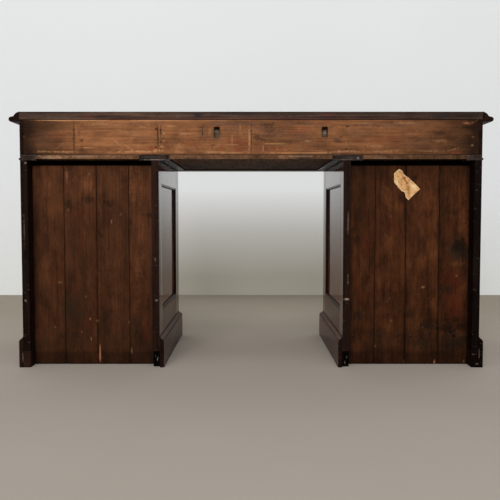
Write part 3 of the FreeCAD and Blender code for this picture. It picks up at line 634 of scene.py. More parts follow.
def wood(
    name,
    early,
    late,
    pore,
    rings_per_metre=250.0,
    ring_depth=0.5,
    fibre_depth=0.5,
    pore_depth=0.4,
    figure_depth=0.3,
    roughness=(0.4, 0.6),
    coat=0.0,
    coat_roughness=0.15,
    worn=(150, 105, 75),
    wear=0.6,
    dirt=(20, 14, 11),
    dirt_and_shade_share=0.7,
    dust_share=0.1,
    mottle_depth=0.25,
    cloud=0.3,
    specks=0.3,
    scuffs=0.2,
    specular=0.5,
    stain=(28, 19, 15),
    scraped=(205, 165, 125),
    reddened=(120, 48, 30),
    greased=(44, 36, 24),
    relief=0.00025,
):
    """A wood with rings, fibres and pores along its grain, worn edges, dirt and painted shade in
    its corners, and the marks that are laid on the board."""
    material, tree, shader = finish_named(name)
    grain = put(tree, "Attribute", attribute_name="grain").outputs["Vector"]
    tone = put(tree, "Attribute", attribute_name="tone").outputs["Fac"]
    shine = put(tree, "Attribute", attribute_name="polish").outputs["Fac"]
    laid = put(tree, "Attribute", attribute_name="marks").outputs
    marks = put(tree, "SeparateColor", {0: laid["Color"]}).outputs
    aged = put(tree, "Group", {"Grain": grain}, node_tree=patina).outputs
    takes = {"Grain": grain, "Rings per metre": rings_per_metre}
    figured = put(tree, "Group", takes, node_tree=wood_grain).outputs
    rings_seen = sum_of(tree, figured["Rings"], ring_depth)
    fibres_seen = stretch(tree, figured["Fibres"], 0.32, 0.68, -fibre_depth, fibre_depth)
    lateness = sum_of(tree, rings_seen, fibres_seen, "ADD", clamp=True)
    colour = mix(tree, lateness, paint(*early), paint(*late))
    colour = mix(tree, sum_of(tree, figured["Pores"], pore_depth), colour, paint(*pore))
    lift = stretch(tree, figured["Figure"], 0.3, 0.7, 1 - figure_depth, 1 + figure_depth)
    lift = sum_of(tree, lift, tone)
    lift = sum_of(tree, lift, stretch(tree, aged["Mottle"], 0, 1, 1 - mottle_depth, 1 + mottle_depth))
    colour = put(tree, "VectorMath", {0: colour, "Scale": lift}, operation="SCALE").outputs[0]
    rubbed = put(tree, "Group", {"Grain": grain}, node_tree=worn_edges).outputs["Wear"]
    rubbed = sum_of(tree, rubbed, sum_of(tree, tone, wear), clamp=True)
    colour = mix(tree, rubbed, colour, paint(*worn))
    colour = mix(tree, sum_of(tree, aged["Clouds"], cloud), colour, paint(*stain))
    colour = mix(tree, sum_of(tree, aged["Specks"], specks), colour, paint(*stain))
    colour = mix(tree, sum_of(tree, aged["Scuffs"], scuffs), colour, paint(*scraped))
    colour = mix(tree, laid["Alpha"], colour, paint(*greased))
    colour = mix(tree, marks["Blue"], colour, paint(*reddened))
    ragged_pale = sum_of(
        tree, marks["Green"], stretch(tree, figured["Fibres"], 0.35, 0.6, 0.35, 1.0)
    )
    colour = mix(tree, ragged_pale, colour, paint(*scraped))
    ragged_dark = sum_of(tree, marks["Red"], stretch(tree, figured["Fibres"], 0.3, 0.6, 0.6, 1.0))
    colour = mix(tree, ragged_dark, colour, paint(*stain))
    # The dirt colour laid in corners and recesses is partly grime and partly painted shade.
    dust_grime_and_shade = put(tree, "Group", {"Grain": grain}, node_tree=grime_and_shade).outputs
    colour = mix(tree, sum_of(tree, dust_grime_and_shade["Grime_and_shade"], dirt_and_shade_share), colour, paint(*dirt))
    colour = mix(tree, sum_of(tree, dust_grime_and_shade["Dust"], dust_share), colour, paint(*DUST))
    tree.links.new(colour, shader.inputs["Base Color"])
    shader.inputs["Specular IOR Level"].default_value = specular
    rough = stretch(tree, figured["Fibres"], 0.3, 0.7, roughness[0], roughness[1])
    dull = stretch(tree, shine, 0.0, 1.0, 0.3, 0.0)
    rough = sum_of(tree, rough, dull, "ADD")
    rough = sum_of(tree, rough, sum_of(tree, rubbed, 0.25), "ADD", clamp=True)
    tree.links.new(rough, shader.inputs["Roughness"])
    if coat:
        spared = stretch(tree, rubbed, 0.0, 1.0, coat, coat * 0.3)
        tree.links.new(sum_of(tree, spared, shine), shader.inputs["Coat Weight"])
        shader.inputs["Coat Roughness"].default_value = coat_roughness
        shader.inputs["Coat IOR"].default_value = COAT_IOR
    height = sum_of(tree, figured["Fibres"], sum_of(tree, figured["Rings"], 0.3), "ADD")
    height = sum_of(tree, height, sum_of(tree, figured["Pores"], 0.6), "SUBTRACT")
    raise_by(tree, shader, height, 0.7, relief)
    return material


UNDER_POLISH = {
    "rings_per_metre": 150.0,
    "fibre_depth": 0.5,
    "mottle_depth": 0.12,
    "cloud": 0.2,
    "specks": 0.1,
    "scuffs": 0.0,
    "roughness": (0.3, 0.45),
    "specular": 0.0,
    "relief": 0.00002,
}
polished_mahogany = wood(
    "polished_mahogany",
    (92, 46, 28), (50, 23, 14), (20, 10, 7),
    ring_depth=0.45,
    figure_depth=0.35,
    coat=1.0,
    coat_roughness=0.06,
    worn=(130, 82, 58),
    wear=0.4,
    **UNDER_POLISH,
)


def rear_dull(normal, place):
    """Polish is on what faces outward and forward, and not on rear edges or undersides."""
    if normal.y > 0.5:
        return 0.1
    return 0.25 if normal.z < -0.5 else 1.0


def looks_back(normal, place):
    """Faces that look to the rear."""
    return normal.y > 0.4


# The slab's rear edge: grey partly from handling and partly as painted sheen.
grey_sheen_mahogany = wood(
    "grey_sheen_mahogany",
    (78, 57, 46), (47, 34, 28), (24, 16, 13),
    rings_per_metre=120.0,
    ring_depth=0.4,
    fibre_depth=0.9,
    figure_depth=0.5,
    mottle_depth=0.3,
    cloud=0.45,
    specks=0.5,
    roughness=(0.45, 0.6),
    specular=0.15,
    worn=(128, 104, 88),
    wear=0.5,
    scraped=(120, 104, 94),
    reddened=(96, 44, 40),
    greased=(34, 35, 42),
    relief=0.0002,
)
SLAB_MARKS = (
    marks_of(REDDENED, 0.5, [
        (489, 759, 24, 5, 0.6), (-230, 765, 27, 4, 0.7), (0, 755, 690, 3, 0.35), (33, 754, 180, 2, 0.3),
    ])
    + marks_of(GREASED, 0.5, [
        (159, 763, 18, 10, 0.9), (-230, 757, 30, 3, 0.4), (-575, 762, 24, 10, 0.6),
        (40, 768, 60, 4, 0.4),
    ])
    + marks_of(STAINED, 0.5, [
        (279, 762, 4, 12, 0.5), (573, 772, 120, 3, 0.6), (0, 773, 690, 3, 0.5),
        (-506, 768, 150, 5, 0.4), (-640, 763, 50, 9, 0.35),
    ])
    + marks_of(SCRAPED, 0.7, [
        (207, 762, 30, 6, 0.25), (633, 762, 42, 5, 0.2), (573, 755, 120, 1, 0.3),
        (-147, 762, 75, 2, 0.25),
    ])
)


# What lies behind this is a face at the rear of the desk.
REAR = 0.29


def slab_shade(place):
    """The slab's rear edge is darkest at the left hand, and a little dark at the right."""
    if place.y < REAR:
        return 1.0
    left = ramp(-place.x, 0.52, 0.06)
    right = ramp(place.x, 0.60, 0.05)
    return 1.06 - 0.42 * left - 0.2 * right


dress(
    "top_slab",
    polished_mahogany,
    edge=0.0012,
    steps=(0.006, None, 0.003),
    shades=[1.0],
    shade_at=slab_shade,
    polish=rear_dull,
    marks=SLAB_MARKS,
    others=[(grey_sheen_mahogany, looks_back)],
    only_rear=True,
)


# The writing leather is one dark brown skin, glued into the bed of the top. Its grain is fine,
# and it has gone darker and smoother where arms rest.
leather_finish, tree, shader = finish_named("writing_leather_skin")
place = put(tree, "NewGeometry").outputs["Position"]
cells = put(
    tree, "TexVoronoi", {"Vector": place, "Scale": 900.0}, feature="DISTANCE_TO_EDGE"
).outputs["Distance"]
patches = put(tree, "TexNoise", {"Vector": place, "Scale": 5.0, "Detail": 4.0}).outputs["Fac"]
rubbed = stretch(tree, patches, 0.35, 0.65)
hide_colour = mix(tree, rubbed, paint(62, 34, 24), paint(84, 48, 33))
crease = stretch(tree, cells, 0.0, 0.12, 1.0, 0.0)
hide_colour = mix(tree, sum_of(tree, crease, 0.35), hide_colour, paint(36, 20, 15))
tree.links.new(hide_colour, shader.inputs["Base Color"])
tree.links.new(stretch(tree, rubbed, 0.0, 1.0, 0.42, 0.58), shader.inputs["Roughness"])
swell = stretch(tree, cells, 0.0, 0.25)
raise_by(tree, shader, swell, 0.5, 0.0002)
skin = dress("writing_leather", leather_finish, edge=0.0004).data

gilding, tree, shader = finish_named("worn_gilding")
place = put(tree, "NewGeometry").outputs["Position"]
flakes = put(tree, "TexNoise", {"Vector": place, "Scale": 60.0, "Detail": 5.0}).outputs["Fac"]
gone = stretch(tree, flakes, 0.48, 0.6)
gilt_colour = mix(tree, gone, paint(176, 140, 80), paint(70, 42, 28))
tree.links.new(gilt_colour, shader.inputs["Base Color"])
tree.links.new(stretch(tree, gone, 0.0, 1.0, 0.8, 0.0), shader.inputs["Metallic"])
tree.links.new(stretch(tree, flakes, 0.3, 0.7, 0.3, 0.55), shader.inputs["Roughness"])
skin.materials.append(gilding)

# A gilt line and a finer one inside it are tooled round the leather, each from one distance to
# another from its edge.
TOOLED_LINES = [(0.0160, 0.0190), (0.0225, 0.0235)]
tooled = bmesh.new()
tooled.from_mesh(skin)
low, high = box_of(tooled)
for line in TOOLED_LINES:
    for inset in line:
        for axis in (0, 1):
            for edge in (low[axis] + inset, high[axis] - inset):
                cross(tooled, all_of(tooled), on_axis(axis, edge), on_axis(axis, 1))
for face in tooled.faces:
    at = face.calc_center_median()
    inward = min(at.x - low[0], high[0] - at.x, at.y - low[1], high[1] - at.y)
    if face.normal.z > 0.9 and any(near < inward < far for near, far in TOOLED_LINES):
        face.material_index = 1
tooled.to_mesh(skin)
tooled.free()


# The edge moulding is planed in three lengths with an ovolo over a fillet and mitred at the
# front corners. It is glued to the slab's ends and front, dark and well polished.
dark_mahogany = wood(
    "dark_mahogany",
    (34, 14, 9), (16, 7, 5), (8, 5, 4),
    ring_depth=0.4,
    figure_depth=0.3,
    coat=0.5,
    coat_roughness=0.08,
    worn=(92, 54, 37),
    wear=0.3,
    **UNDER_POLISH,
)
dull_edges = wood(
    "dull_edges",
    (38, 22, 16), (18, 10, 8), (9, 5, 4),
    rings_per_metre=150.0,
    ring_depth=0.4,
    fibre_depth=0.7,
    figure_depth=0.35,
    mottle_depth=0.3,
    cloud=0.5,
    specks=0.3,
    scuffs=0.1,
    roughness=(0.5, 0.7),
    specular=0.03,
    worn=(78, 54, 42),
    wear=0.2,
    scraped=(196, 168, 152),
    dirt=(8, 6, 5),
    relief=0.0003,
)
dress(
    "top_edge_moulding",
    dark_mahogany,
    edge=0.0004,
    polish=rear_dull,
    others=[(dull_edges, looks_back)],
)


# The case under the top: two solid ends of polished mahogany with rebates for the back board,
# front rails over and under the drawers, and cross rails under the dividers that carry the case
# on its pedestals. All are jointed and glued.
for end in ("right_frieze_end", "left_frieze_end"):
    dress(
        end,
        polished_mahogany,
        steps=(None, 0.02, 0.01),
        polish=rear_dull,
        others=[(dull_edges, looks_back)],
    )
dress("frieze_front_rails", polished_mahogany, polish=rear_dull)

grey_bearer_wood = wood(
    "grey_bearer_wood",
    (58, 46, 40), (32, 25, 22), (14, 10, 9),
    rings_per_metre=200.0,
    ring_depth=0.4,
    fibre_depth=0.8,
    mottle_depth=0.4,
    specks=0.6,
    roughness=(0.5, 0.65),
    specular=0.05,
    worn=(128, 118, 112),
    wear=1.0,
    dirt=(12, 10, 9),
    dirt_and_shade_share=1.0,
    stain=(10, 8, 7),
    scraped=(158, 150, 146),
)
waxed_rail = wood(
    "waxed_rail",
    (40, 31, 26), (22, 16, 14), (10, 8, 7),
    rings_per_metre=200.0,
    roughness=(0.4, 0.55),
    specular=0.0,
    coat=0.2,
    coat_roughness=0.1,
    # The light worn colour on the reeds' edges is partly wear and partly painted highlight.
    worn=(150, 142, 134),
    wear=1.3,
    dirt=(10, 8, 7),
    dirt_and_shade_share=0.8,
    relief=0.00005,
)


def rear_end(normal, place):
    """The sawn rear ends."""
    return normal.y > 0.85


REED_CREST = 0.6309
REEDS_END = 0.271


def reed_shine(normal, place):
    """The crests of the reeds are rubbed bright, and old dirt has dulled the hollows."""
    if abs(place.x) > REEDS_END:
        return 0.4
    return 2.6 if place.z < REED_CREST else 0.05


def reed_painted_light(place):
    """Painted highlight on the reeds' crests and painted shade in the hollows between them."""
    if place.y > REAR or abs(place.x) > REEDS_END:
        return 1.0
    return 3.2 if place.z < REED_CREST else 0.4


BEARER_MARKS = (
    marks_of(SCRAPED, 0.4, [
        (292, 631.5, 42, 1.4, 0.9), (-285, 632, 30, 1.2, 0.4), (-322, 637, 4, 5, 0.6),
        (300, 640, 30, 1, 0.25), (-300, 637, 26, 1, 0.3),
    ])
    + marks_of(STAINED, 0.5, [
        (336, 637, 4, 9, 1.0), (292, 645, 46, 1.5, 0.7), (-292, 645, 46, 1.5, 0.6),
        (252, 637, 5, 7, 0.6), (-250, 638, 6, 6, 0.5),
    ])
)
dress(
    "frieze_cross_rails",
    waxed_rail,
    edge=0.0010,
    steps=(0.002, None, 0.0012),
    shade_at=reed_painted_light,
    polish=reed_shine,
    marks=BEARER_MARKS,
    others=[(grey_bearer_wood, rear_end)],
    only_rear=True,
)


# The frieze's back board is one wide pine board, thinly stained, nailed into the rebates and
# to the dividers, with two hand slots cut through. It is the palest wood at the back.
BACK_BOARD_STEP = 0.003


# How light the board is drawn along its length, from the left hand to the right.
FRIEZE_TONES = [
    (-0.70, 0.05), (-0.66, 0.07), (-0.63, 0.20), (-0.54, 0.42), (-0.45, 0.60), (-0.35, 0.70),
    (-0.10, 0.64), (0.04, 0.71), (0.20, 0.78), (0.30, 0.85), (0.45, 0.84), (0.53, 0.70), (0.58, 0.52),
    (0.635, 0.28), (0.665, 0.09), (0.70, 0.05),
]


def along_tones(tones, x):
    """A tone read off a list of places and tones."""
    for (near, first), (far, second) in zip(tones, tones[1:]):
        if near <= x <= far:
            return first + (second - first) * (x - near) / (far - near)
    return tones[0][1] if x < tones[0][0] else tones[-1][1]


# The joint under the board, and over what height its dirt thins out
FRIEZE_JOINT = 0.6465
JOINT_FADE = 0.003


def frieze_shade(place):
    """The board is drawn lightest right of the middle and darkest at the ends, with a ragged edge,
    and dirt lies in the joint under the board."""
    stray = 0.02 * noise.noise(Vector((place.x * 9, 1.3, place.z * 40)))
    wave = 0.001 * noise.noise(Vector((place.x * 30, 6.1, 0)))
    clean = max(0.3, ramp(place.z + wave, FRIEZE_JOINT, JOINT_FADE))
    return along_tones(FRIEZE_TONES, place.x + stray) * clean


FRIEZE_MARKS = (
    marks_of(STAINED, 0.5, [
        (508, 690, 10, 5, 0.8), (515, 711, 3, 12, 0.4), (508, 664, 7, 12, 0.45), (427, 664, 7, 6, 0.4),
        (-54, 726, 27, 21, 0.5), (-15, 700, 12, 12, 0.6), (-33, 692, 15, 4, 0.6, 20),
        (-117, 685, 30, 9, 0.3), (-1, 696, 2, 45, 0.6), (146, 714, 2, 15, 0.8), (149, 730, 13, 3, 0.6),
        (191, 717, 12, 3, 0.4), (116, 675, 13, 3, 0.8), (116, 668, 3, 5, 0.8),
        (-270, 700, 7, 2, 0.9, -8), (-293, 733, 58, 1.5, 0.6), (-261, 687, 12, 9, 0.4),
        (280, 705, 3, 39, 0.8), (271, 717, 3, 20, 0.8), (271, 685, 3, 4, 0.9), (271, 664, 3, 4, 0.9),
        (532, 702, 3, 51, 0.9), (663, 744, 21, 12, 0.5), (664, 670, 24, 18, 0.5),
        (615, 744, 15, 6, 0.4), (-492, 720, 42, 2, 0.5), (-567, 711, 24, 10, 0.5),
        (-540, 693, 2, 14, 0.5), (-603, 697, 27, 9, 0.3), (-598, 670, 30, 6, 0.4, -10),
        (-493, 653, 60, 3, 0.5), (-372, 732, 18, 5, 0.3), (-147, 741, 24, 5, 0.35),
        (-207, 667, 27, 6, 0.3), (-432, 685, 36, 6, 0.25), (574, 690, 24, 9, 0.3),
        (573, 723, 27, 4, 0.3), (219, 690, 18, 9, 0.25), (196, 658, 24, 4, 0.4),
        (334, 690, 30, 15, 0.25), (33, 744, 27, 6, 0.3), (103, 714, 13, 21, 0.6),
        (-221, 714, 13, 21, 0.6), (-681, 720, 15, 21, 0.6), (-676, 673, 18, 18, 0.6),
    ])
    + marks_of(STAINED, 0.1, [
        (285, 724, 5, 4, 1.0), (286, 669, 4, 3, 1.0), (-289, 731, 6, 4, 1.0), (-285, 664, 5, 3, 0.9),
    ])
    + marks_of(SCRAPED, 0.25, [
        (-665, 674, 5, 4, 0.6), (-666, 700, 6, 2, 0.3, 25), (685, 701, 5, 2, 0.4),
        # The long pale lines near Z 749 are the worn top arris with a painted highlight along it.
        (690, 682, 3, 2, 0.5), (545, 749.5, 145, 2.5, 0.8), (270, 749.5, 120, 2.5, 0.75),
        (110, 749, 60, 2, 0.35), (400, 680, 24, 2, 0.5, 38), (370, 670, 27, 2, 0.5, 32),
        (361, 690, 18, 1.5, 0.3, -38), (490, 667, 27, 1.5, 0.6), (490, 659, 27, 1, 0.4),
        (33, 726, 1.5, 18, 0.4), (-36, 665, 1.5, 13, 0.45), (-55, 664, 1.5, 12, 0.3),
        (-77, 664, 1.5, 13, 0.4), (-103, 664, 2, 13, 0.3), (-70, 679, 48, 1.5, 0.5),
        (-66, 654, 45, 1.5, 0.35), (39, 711, 24, 1.5, 0.3, 8), (-284, 680, 2, 13, 0.4),
        (-607, 662, 30, 1.5, 0.35, -18),
    ])
    + marks_of(SCRAPED, 0.6, [
        (58, 688, 2, 36, 0.55), (5, 696, 2.5, 52, 0.7), (57, 676, 27, 1.5, 0.5), (60, 652, 50, 2, 0.6),
        (556, 655, 39, 3, 0.75), (622, 656, 30, 3, 0.4), (334, 656, 81, 3, 0.8),
        (117, 654, 48, 2.5, 0.7), (208, 656, 24, 5, 0.4), (-282, 656, 66, 3, 0.45),
        (-393, 656, 51, 4, 0.45), (-147, 652, 114, 2, 0.5), (-538, 657, 60, 2, 0.3),
        (459, 738, 42, 5, 0.3), (363, 714, 36, 5, 0.3), (243, 732, 21, 3, 0.3), (198, 708, 30, 3, 0.3),
        (263, 711, 5, 5, 0.7), (263, 688, 5, 2, 0.6), (268, 670, 8, 4, 0.5), (280, 659, 18, 3, 0.8),
        (214, 673, 15, 9, 0.3), (-171, 687, 12, 4, 0.3), (-333, 741, 36, 2, 0.3),
        (-462, 741, 42, 4, 0.35), (-567, 688, 24, 4, 0.25), (-372, 673, 30, 5, 0.25),
        (-651, 741, 17, 3, 0.5), (93, 740, 18, 3, 0.25), (123, 717, 6, 15, 0.2),
        (324, 729, 21, 3, 0.3, 12), (153, 748, 90, 1.5, 0.4),
    ])
    + marks_of(REDDENED, 0.65, [
        (292, 665, 27, 8, 0.6), (39, 682, 42, 21, 0.4), (183, 679, 42, 12, 0.3),
        (-72, 664, 48, 9, 0.35), (-648, 740, 24, 7, 0.3), (334, 661, 36, 5, 0.4),
        (-147, 720, 54, 12, 0.3), (-222, 741, 36, 4, 0.4), (-402, 690, 66, 18, 0.25),
        (-616, 653, 24, 5, 0.35), (589, 702, 36, 15, 0.2), (505, 667, 9, 9, 0.4),
        (256, 664, 10, 10, 0.4), (90, 666, 10, 14, 0.4), (36, 660, 16, 10, 0.45),
    ])
    + marks_of(GREASED, 0.65, [
        (-33, 726, 24, 15, 0.35), (104, 696, 14, 8, 0.4), (147, 717, 15, 18, 0.3),
        (-261, 693, 15, 9, 0.35), (417, 732, 54, 12, 0.12), (-500, 680, 60, 14, 0.2),
        (620, 700, 40, 30, 0.2), (40, 738, 140, 8, 0.5), (-150, 739, 80, 7, 0.4),
        (350, 740, 120, 6, 0.3), (-400, 736, 120, 8, 0.35), (-50, 714, 90, 22, 0.25),
        (-150, 700, 40, 34, 0.2), (60, 722, 30, 18, 0.25), (-330, 712, 50, 16, 0.2),
    ])
)
# Each nail of this board was driven home with a bruise of the hammer round its head.
FRIEZE_NAILS = [(0.2853, 0.7242), (0.2857, 0.6688), (-0.2886, 0.7313), (-0.2876, 0.6640)]
BRUISE_REACH = 0.007
BRUISE_DEPTH = 0.0009


def bruised(place, number):
    """The board's rear face, sunk round its nails."""
    depth = 0.0
    if place.y > REAR:
        for x, z in FRIEZE_NAILS:
            away = math.hypot(place.x - x, place.z - z) / BRUISE_REACH
            if away < 1:
                depth = BRUISE_DEPTH * (1 - away * away) ** 2
    return Vector((0, -depth, 0))


# Splits and joints: the way across, where, from and to, half width, depth and stray.
FRIEZE_GROOVES = [
    (0, 0.5325, 0.650, 0.748, 0.0011, 0.002, 0.003), (0, 0.2800, 0.662, 0.745, 0.0009, 0.002, 0.001),
    (0, 0.2707, 0.698, 0.735, 0.0008, 0.0015, 0.002), (0, 0.1464, 0.700, 0.733, 0.0007, 0.0012, 0.001),
    (0, -0.0007, 0.652, 0.746, 0.0006, 0.001, 0.001),
]

stained_pine = wood(
    "stained_pine",
    (156, 103, 66), (108, 65, 40), (66, 38, 24),
    rings_per_metre=110.0,
    ring_depth=0.25,
    fibre_depth=0.5,
    pore_depth=0.15,
    figure_depth=0.15,
    mottle_depth=0.36,
    cloud=0.3,
    specks=0.6,
    scuffs=0.15,
    roughness=(0.5, 0.68),
    specular=0.05,
    worn=(196, 152, 110),
    wear=0.5,
    dirt=(44, 28, 20),
    stain=(36, 22, 16),
    scraped=(202, 152, 106),
    reddened=(128, 58, 36),
    greased=(80, 62, 58),
)
dress(
    "frieze_back_board",
    stained_pine,
    edge=0.001,
    steps=(BACK_BOARD_STEP, None, BACK_BOARD_STEP),
    bend=bruised,
    shades=[1.0],
    shade_at=frieze_shade,
    marks=FRIEZE_MARKS,
    grooves=FRIEZE_GROOVES,
    only_rear=True,
)


# Dividers and dust boards are bare pine, darkened by age. The dividers part the three drawers
# and stand on the cross rails. The dust boards lie between those rails and close the case below.
bare_pine = wood(
    "bare_pine",
    (188, 150, 108), (150, 108, 70), (96, 66, 42),
    rings_per_metre=140.0,
    ring_depth=0.5,
    fibre_depth=0.4,
    pore_depth=0.1,
    roughness=(0.6, 0.78),
    specular=0.2,
    worn=(206, 172, 132),
    wear=0.3,
    dirt=(60, 44, 32),
)
old_pine = wood(
    "old_pine",
    (132, 94, 66), (84, 56, 38), (48, 31, 21),
    rings_per_metre=140.0,
    ring_depth=0.45,
    fibre_depth=0.5,
    pore_depth=0.2,
    mottle_depth=0.5,
    cloud=0.6,
    specks=0.6,
    roughness=(0.6, 0.78),
    specular=0.05,
    worn=(170, 136, 108),
    wear=0.5,
    dirt=(40, 30, 24),
    scraped=(168, 140, 118),
)


def strip_tone_and_underside_shade(place):
    """The dust boards' rear edges are lighter at the right hand; their undersides carry painted shade.
    """
    if place.y < REAR:
        return 0.28
    return 0.72 + 0.28 * place.x / 0.65


def looks_out(normal, place):
    """The front edges, which carry a thin facing of mahogany."""
    return normal.y < -0.4 or place.y < -0.258


STRIP_MARKS = marks_of(SCRAPED, 0.7, [
    (600, 639, 60, 4, 0.8), (500, 641, 60, 3, 0.5), (400, 640, 40, 2, 0.4), (180, 641, 30, 2, 0.3),
    (-150, 642, 60, 1.5, 0.5), (-420, 636, 70, 2, 0.4), (-600, 640, 40, 2, 0.3),
])
dress("frieze_dividers", bare_pine, others=[(polished_mahogany, looks_out)])
dress(
    "frieze_dust_boards",
    old_pine,
    edge=0.0006,
    steps=(0.006, None, 0.004),
    shades=[0.9, 0.85, 1.0],
    shade_at=strip_tone_and_underside_shade,
    marks=STRIP_MARKS,
    only_rear=True,
)


# The base bead is a small half round moulding, glued round the front and ends of the case
# where it meets the pedestals, and mitred at the corners.
dress("frieze_base_bead", dark_mahogany, edge=0.0003, polish=rear_dull)


# Each pedestal has framed and panelled sides of mahogany: stiles and rails tenoned together,
# a thin panel held in their grooves, and a mitred moulding planted round it. The inner sides
# are as well polished as the outer ones and mirror the room; their rear edges and what faces
# into the pedestal were never polished.
PEDESTALS = ("right", "left")
SIDES = ("inner", "outer")
# Tenon pin ends and pale lines on the stiles, and a painted glint atop the right outer stile (679,
# 622).
TENON_ENDS_AND_GLINT = marks_of(SCRAPED, 0.3, [
    (684, 204, 5, 2.5, 0.9, 6), (287, 207, 6, 2.5, 1.0), (-290, 210, 9, 3.5, 1.0),
    (679, 622, 3, 3, 1.0), (290, 330, 3, 8, 0.2), (685, 420, 2, 70, 0.16), (-293, 440, 1.5, 60, 0.3),
    (-293, 270, 1.5, 40, 0.45),
])


# A pedestal's inner side is nearer the middle than the first, its outer side beyond the second.
INNER_SIDE = 0.31
OUTER_SIDE = 0.5
PANEL_MIDDLES = (0.297, 0.677)
PANEL_RISE = 0.007


def side_sway(place, number):
    """The panels are thinned at their edges for the grooves and stand fuller between the
    mouldings, and old panels are never quite flat."""
    lift = noise.noise(Vector((place.x * 3, place.y * 7, place.z * 5))) * 0.00035
    out = abs(place.x)
    if out < PANEL_MIDDLES[0]:
        lift += PANEL_RISE
    elif out > PANEL_MIDDLES[1]:
        lift -= PANEL_RISE
    return Vector((-lift if place.x > 0 else lift, 0, 0))


def side_polish(normal, place):
    """The sides keep their shine high up and have lost it near the floor."""
    return 0.42 + 0.58 * ramp(place.z, 0.08, 0.42)


def panel_polish(normal, place):
    """The panels have lost a little more of their shine than the frames round them."""
    return 0.9 * side_polish(normal, place)


def frame_shade(place):
    """The outer frames' rear edges are the darkest, most of all at the left hand."""
    if place.y < REAR or abs(place.x) < OUTER_SIDE:
        return 1.0
    return 0.62 if place.x > 0 else 0.2


def foot_shade(place):
    """The plinth is browner in the kneehole and dark at its rear ends, least at the right."""
    if abs(place.x) < INNER_SIDE:
        return 0.72
    return 1.15 if place.x > OUTER_SIDE and place.y > REAR else frame_shade(place)


def unpolished(hand, side):
    """Tells the rear edges of a side frame, and its faces inside the pedestal."""
    outward = 1 if (hand == "right") == (side == "outer") else -1

    def told(normal, place):
        return normal.y > 0.4 or normal.x * outward < -0.5

    return told


for hand in PEDESTALS:
    for side in SIDES:
        dress(
            f"{hand}_{side}_side_frame",
            polished_mahogany,
            edge=0.0009,
            steps=(0.003, None, 0.004),
            shades=[0.9, 1.0, 0.95, 1.05],
            shade_at=frame_shade,
            polish=side_polish,
            marks=TENON_ENDS_AND_GLINT,
            others=[(dull_edges, unpolished(hand, side))],
            only_rear=True,
        )
    dress(
        f"{hand}_side_panels",
        polished_mahogany,
        edge=0.0005,
        steps=(None, 0.02, 0.02),
        bend=side_sway,
        shades=[1.7],
        polish=panel_polish,
        upright=True,
    )
    # The mouldings are drawn darker than their wood, as painted shade in the recesses round the panels.
    dress(f"{hand}_panel_mouldings", dark_mahogany, edge=None, shades=[0.45], polish=side_polish)


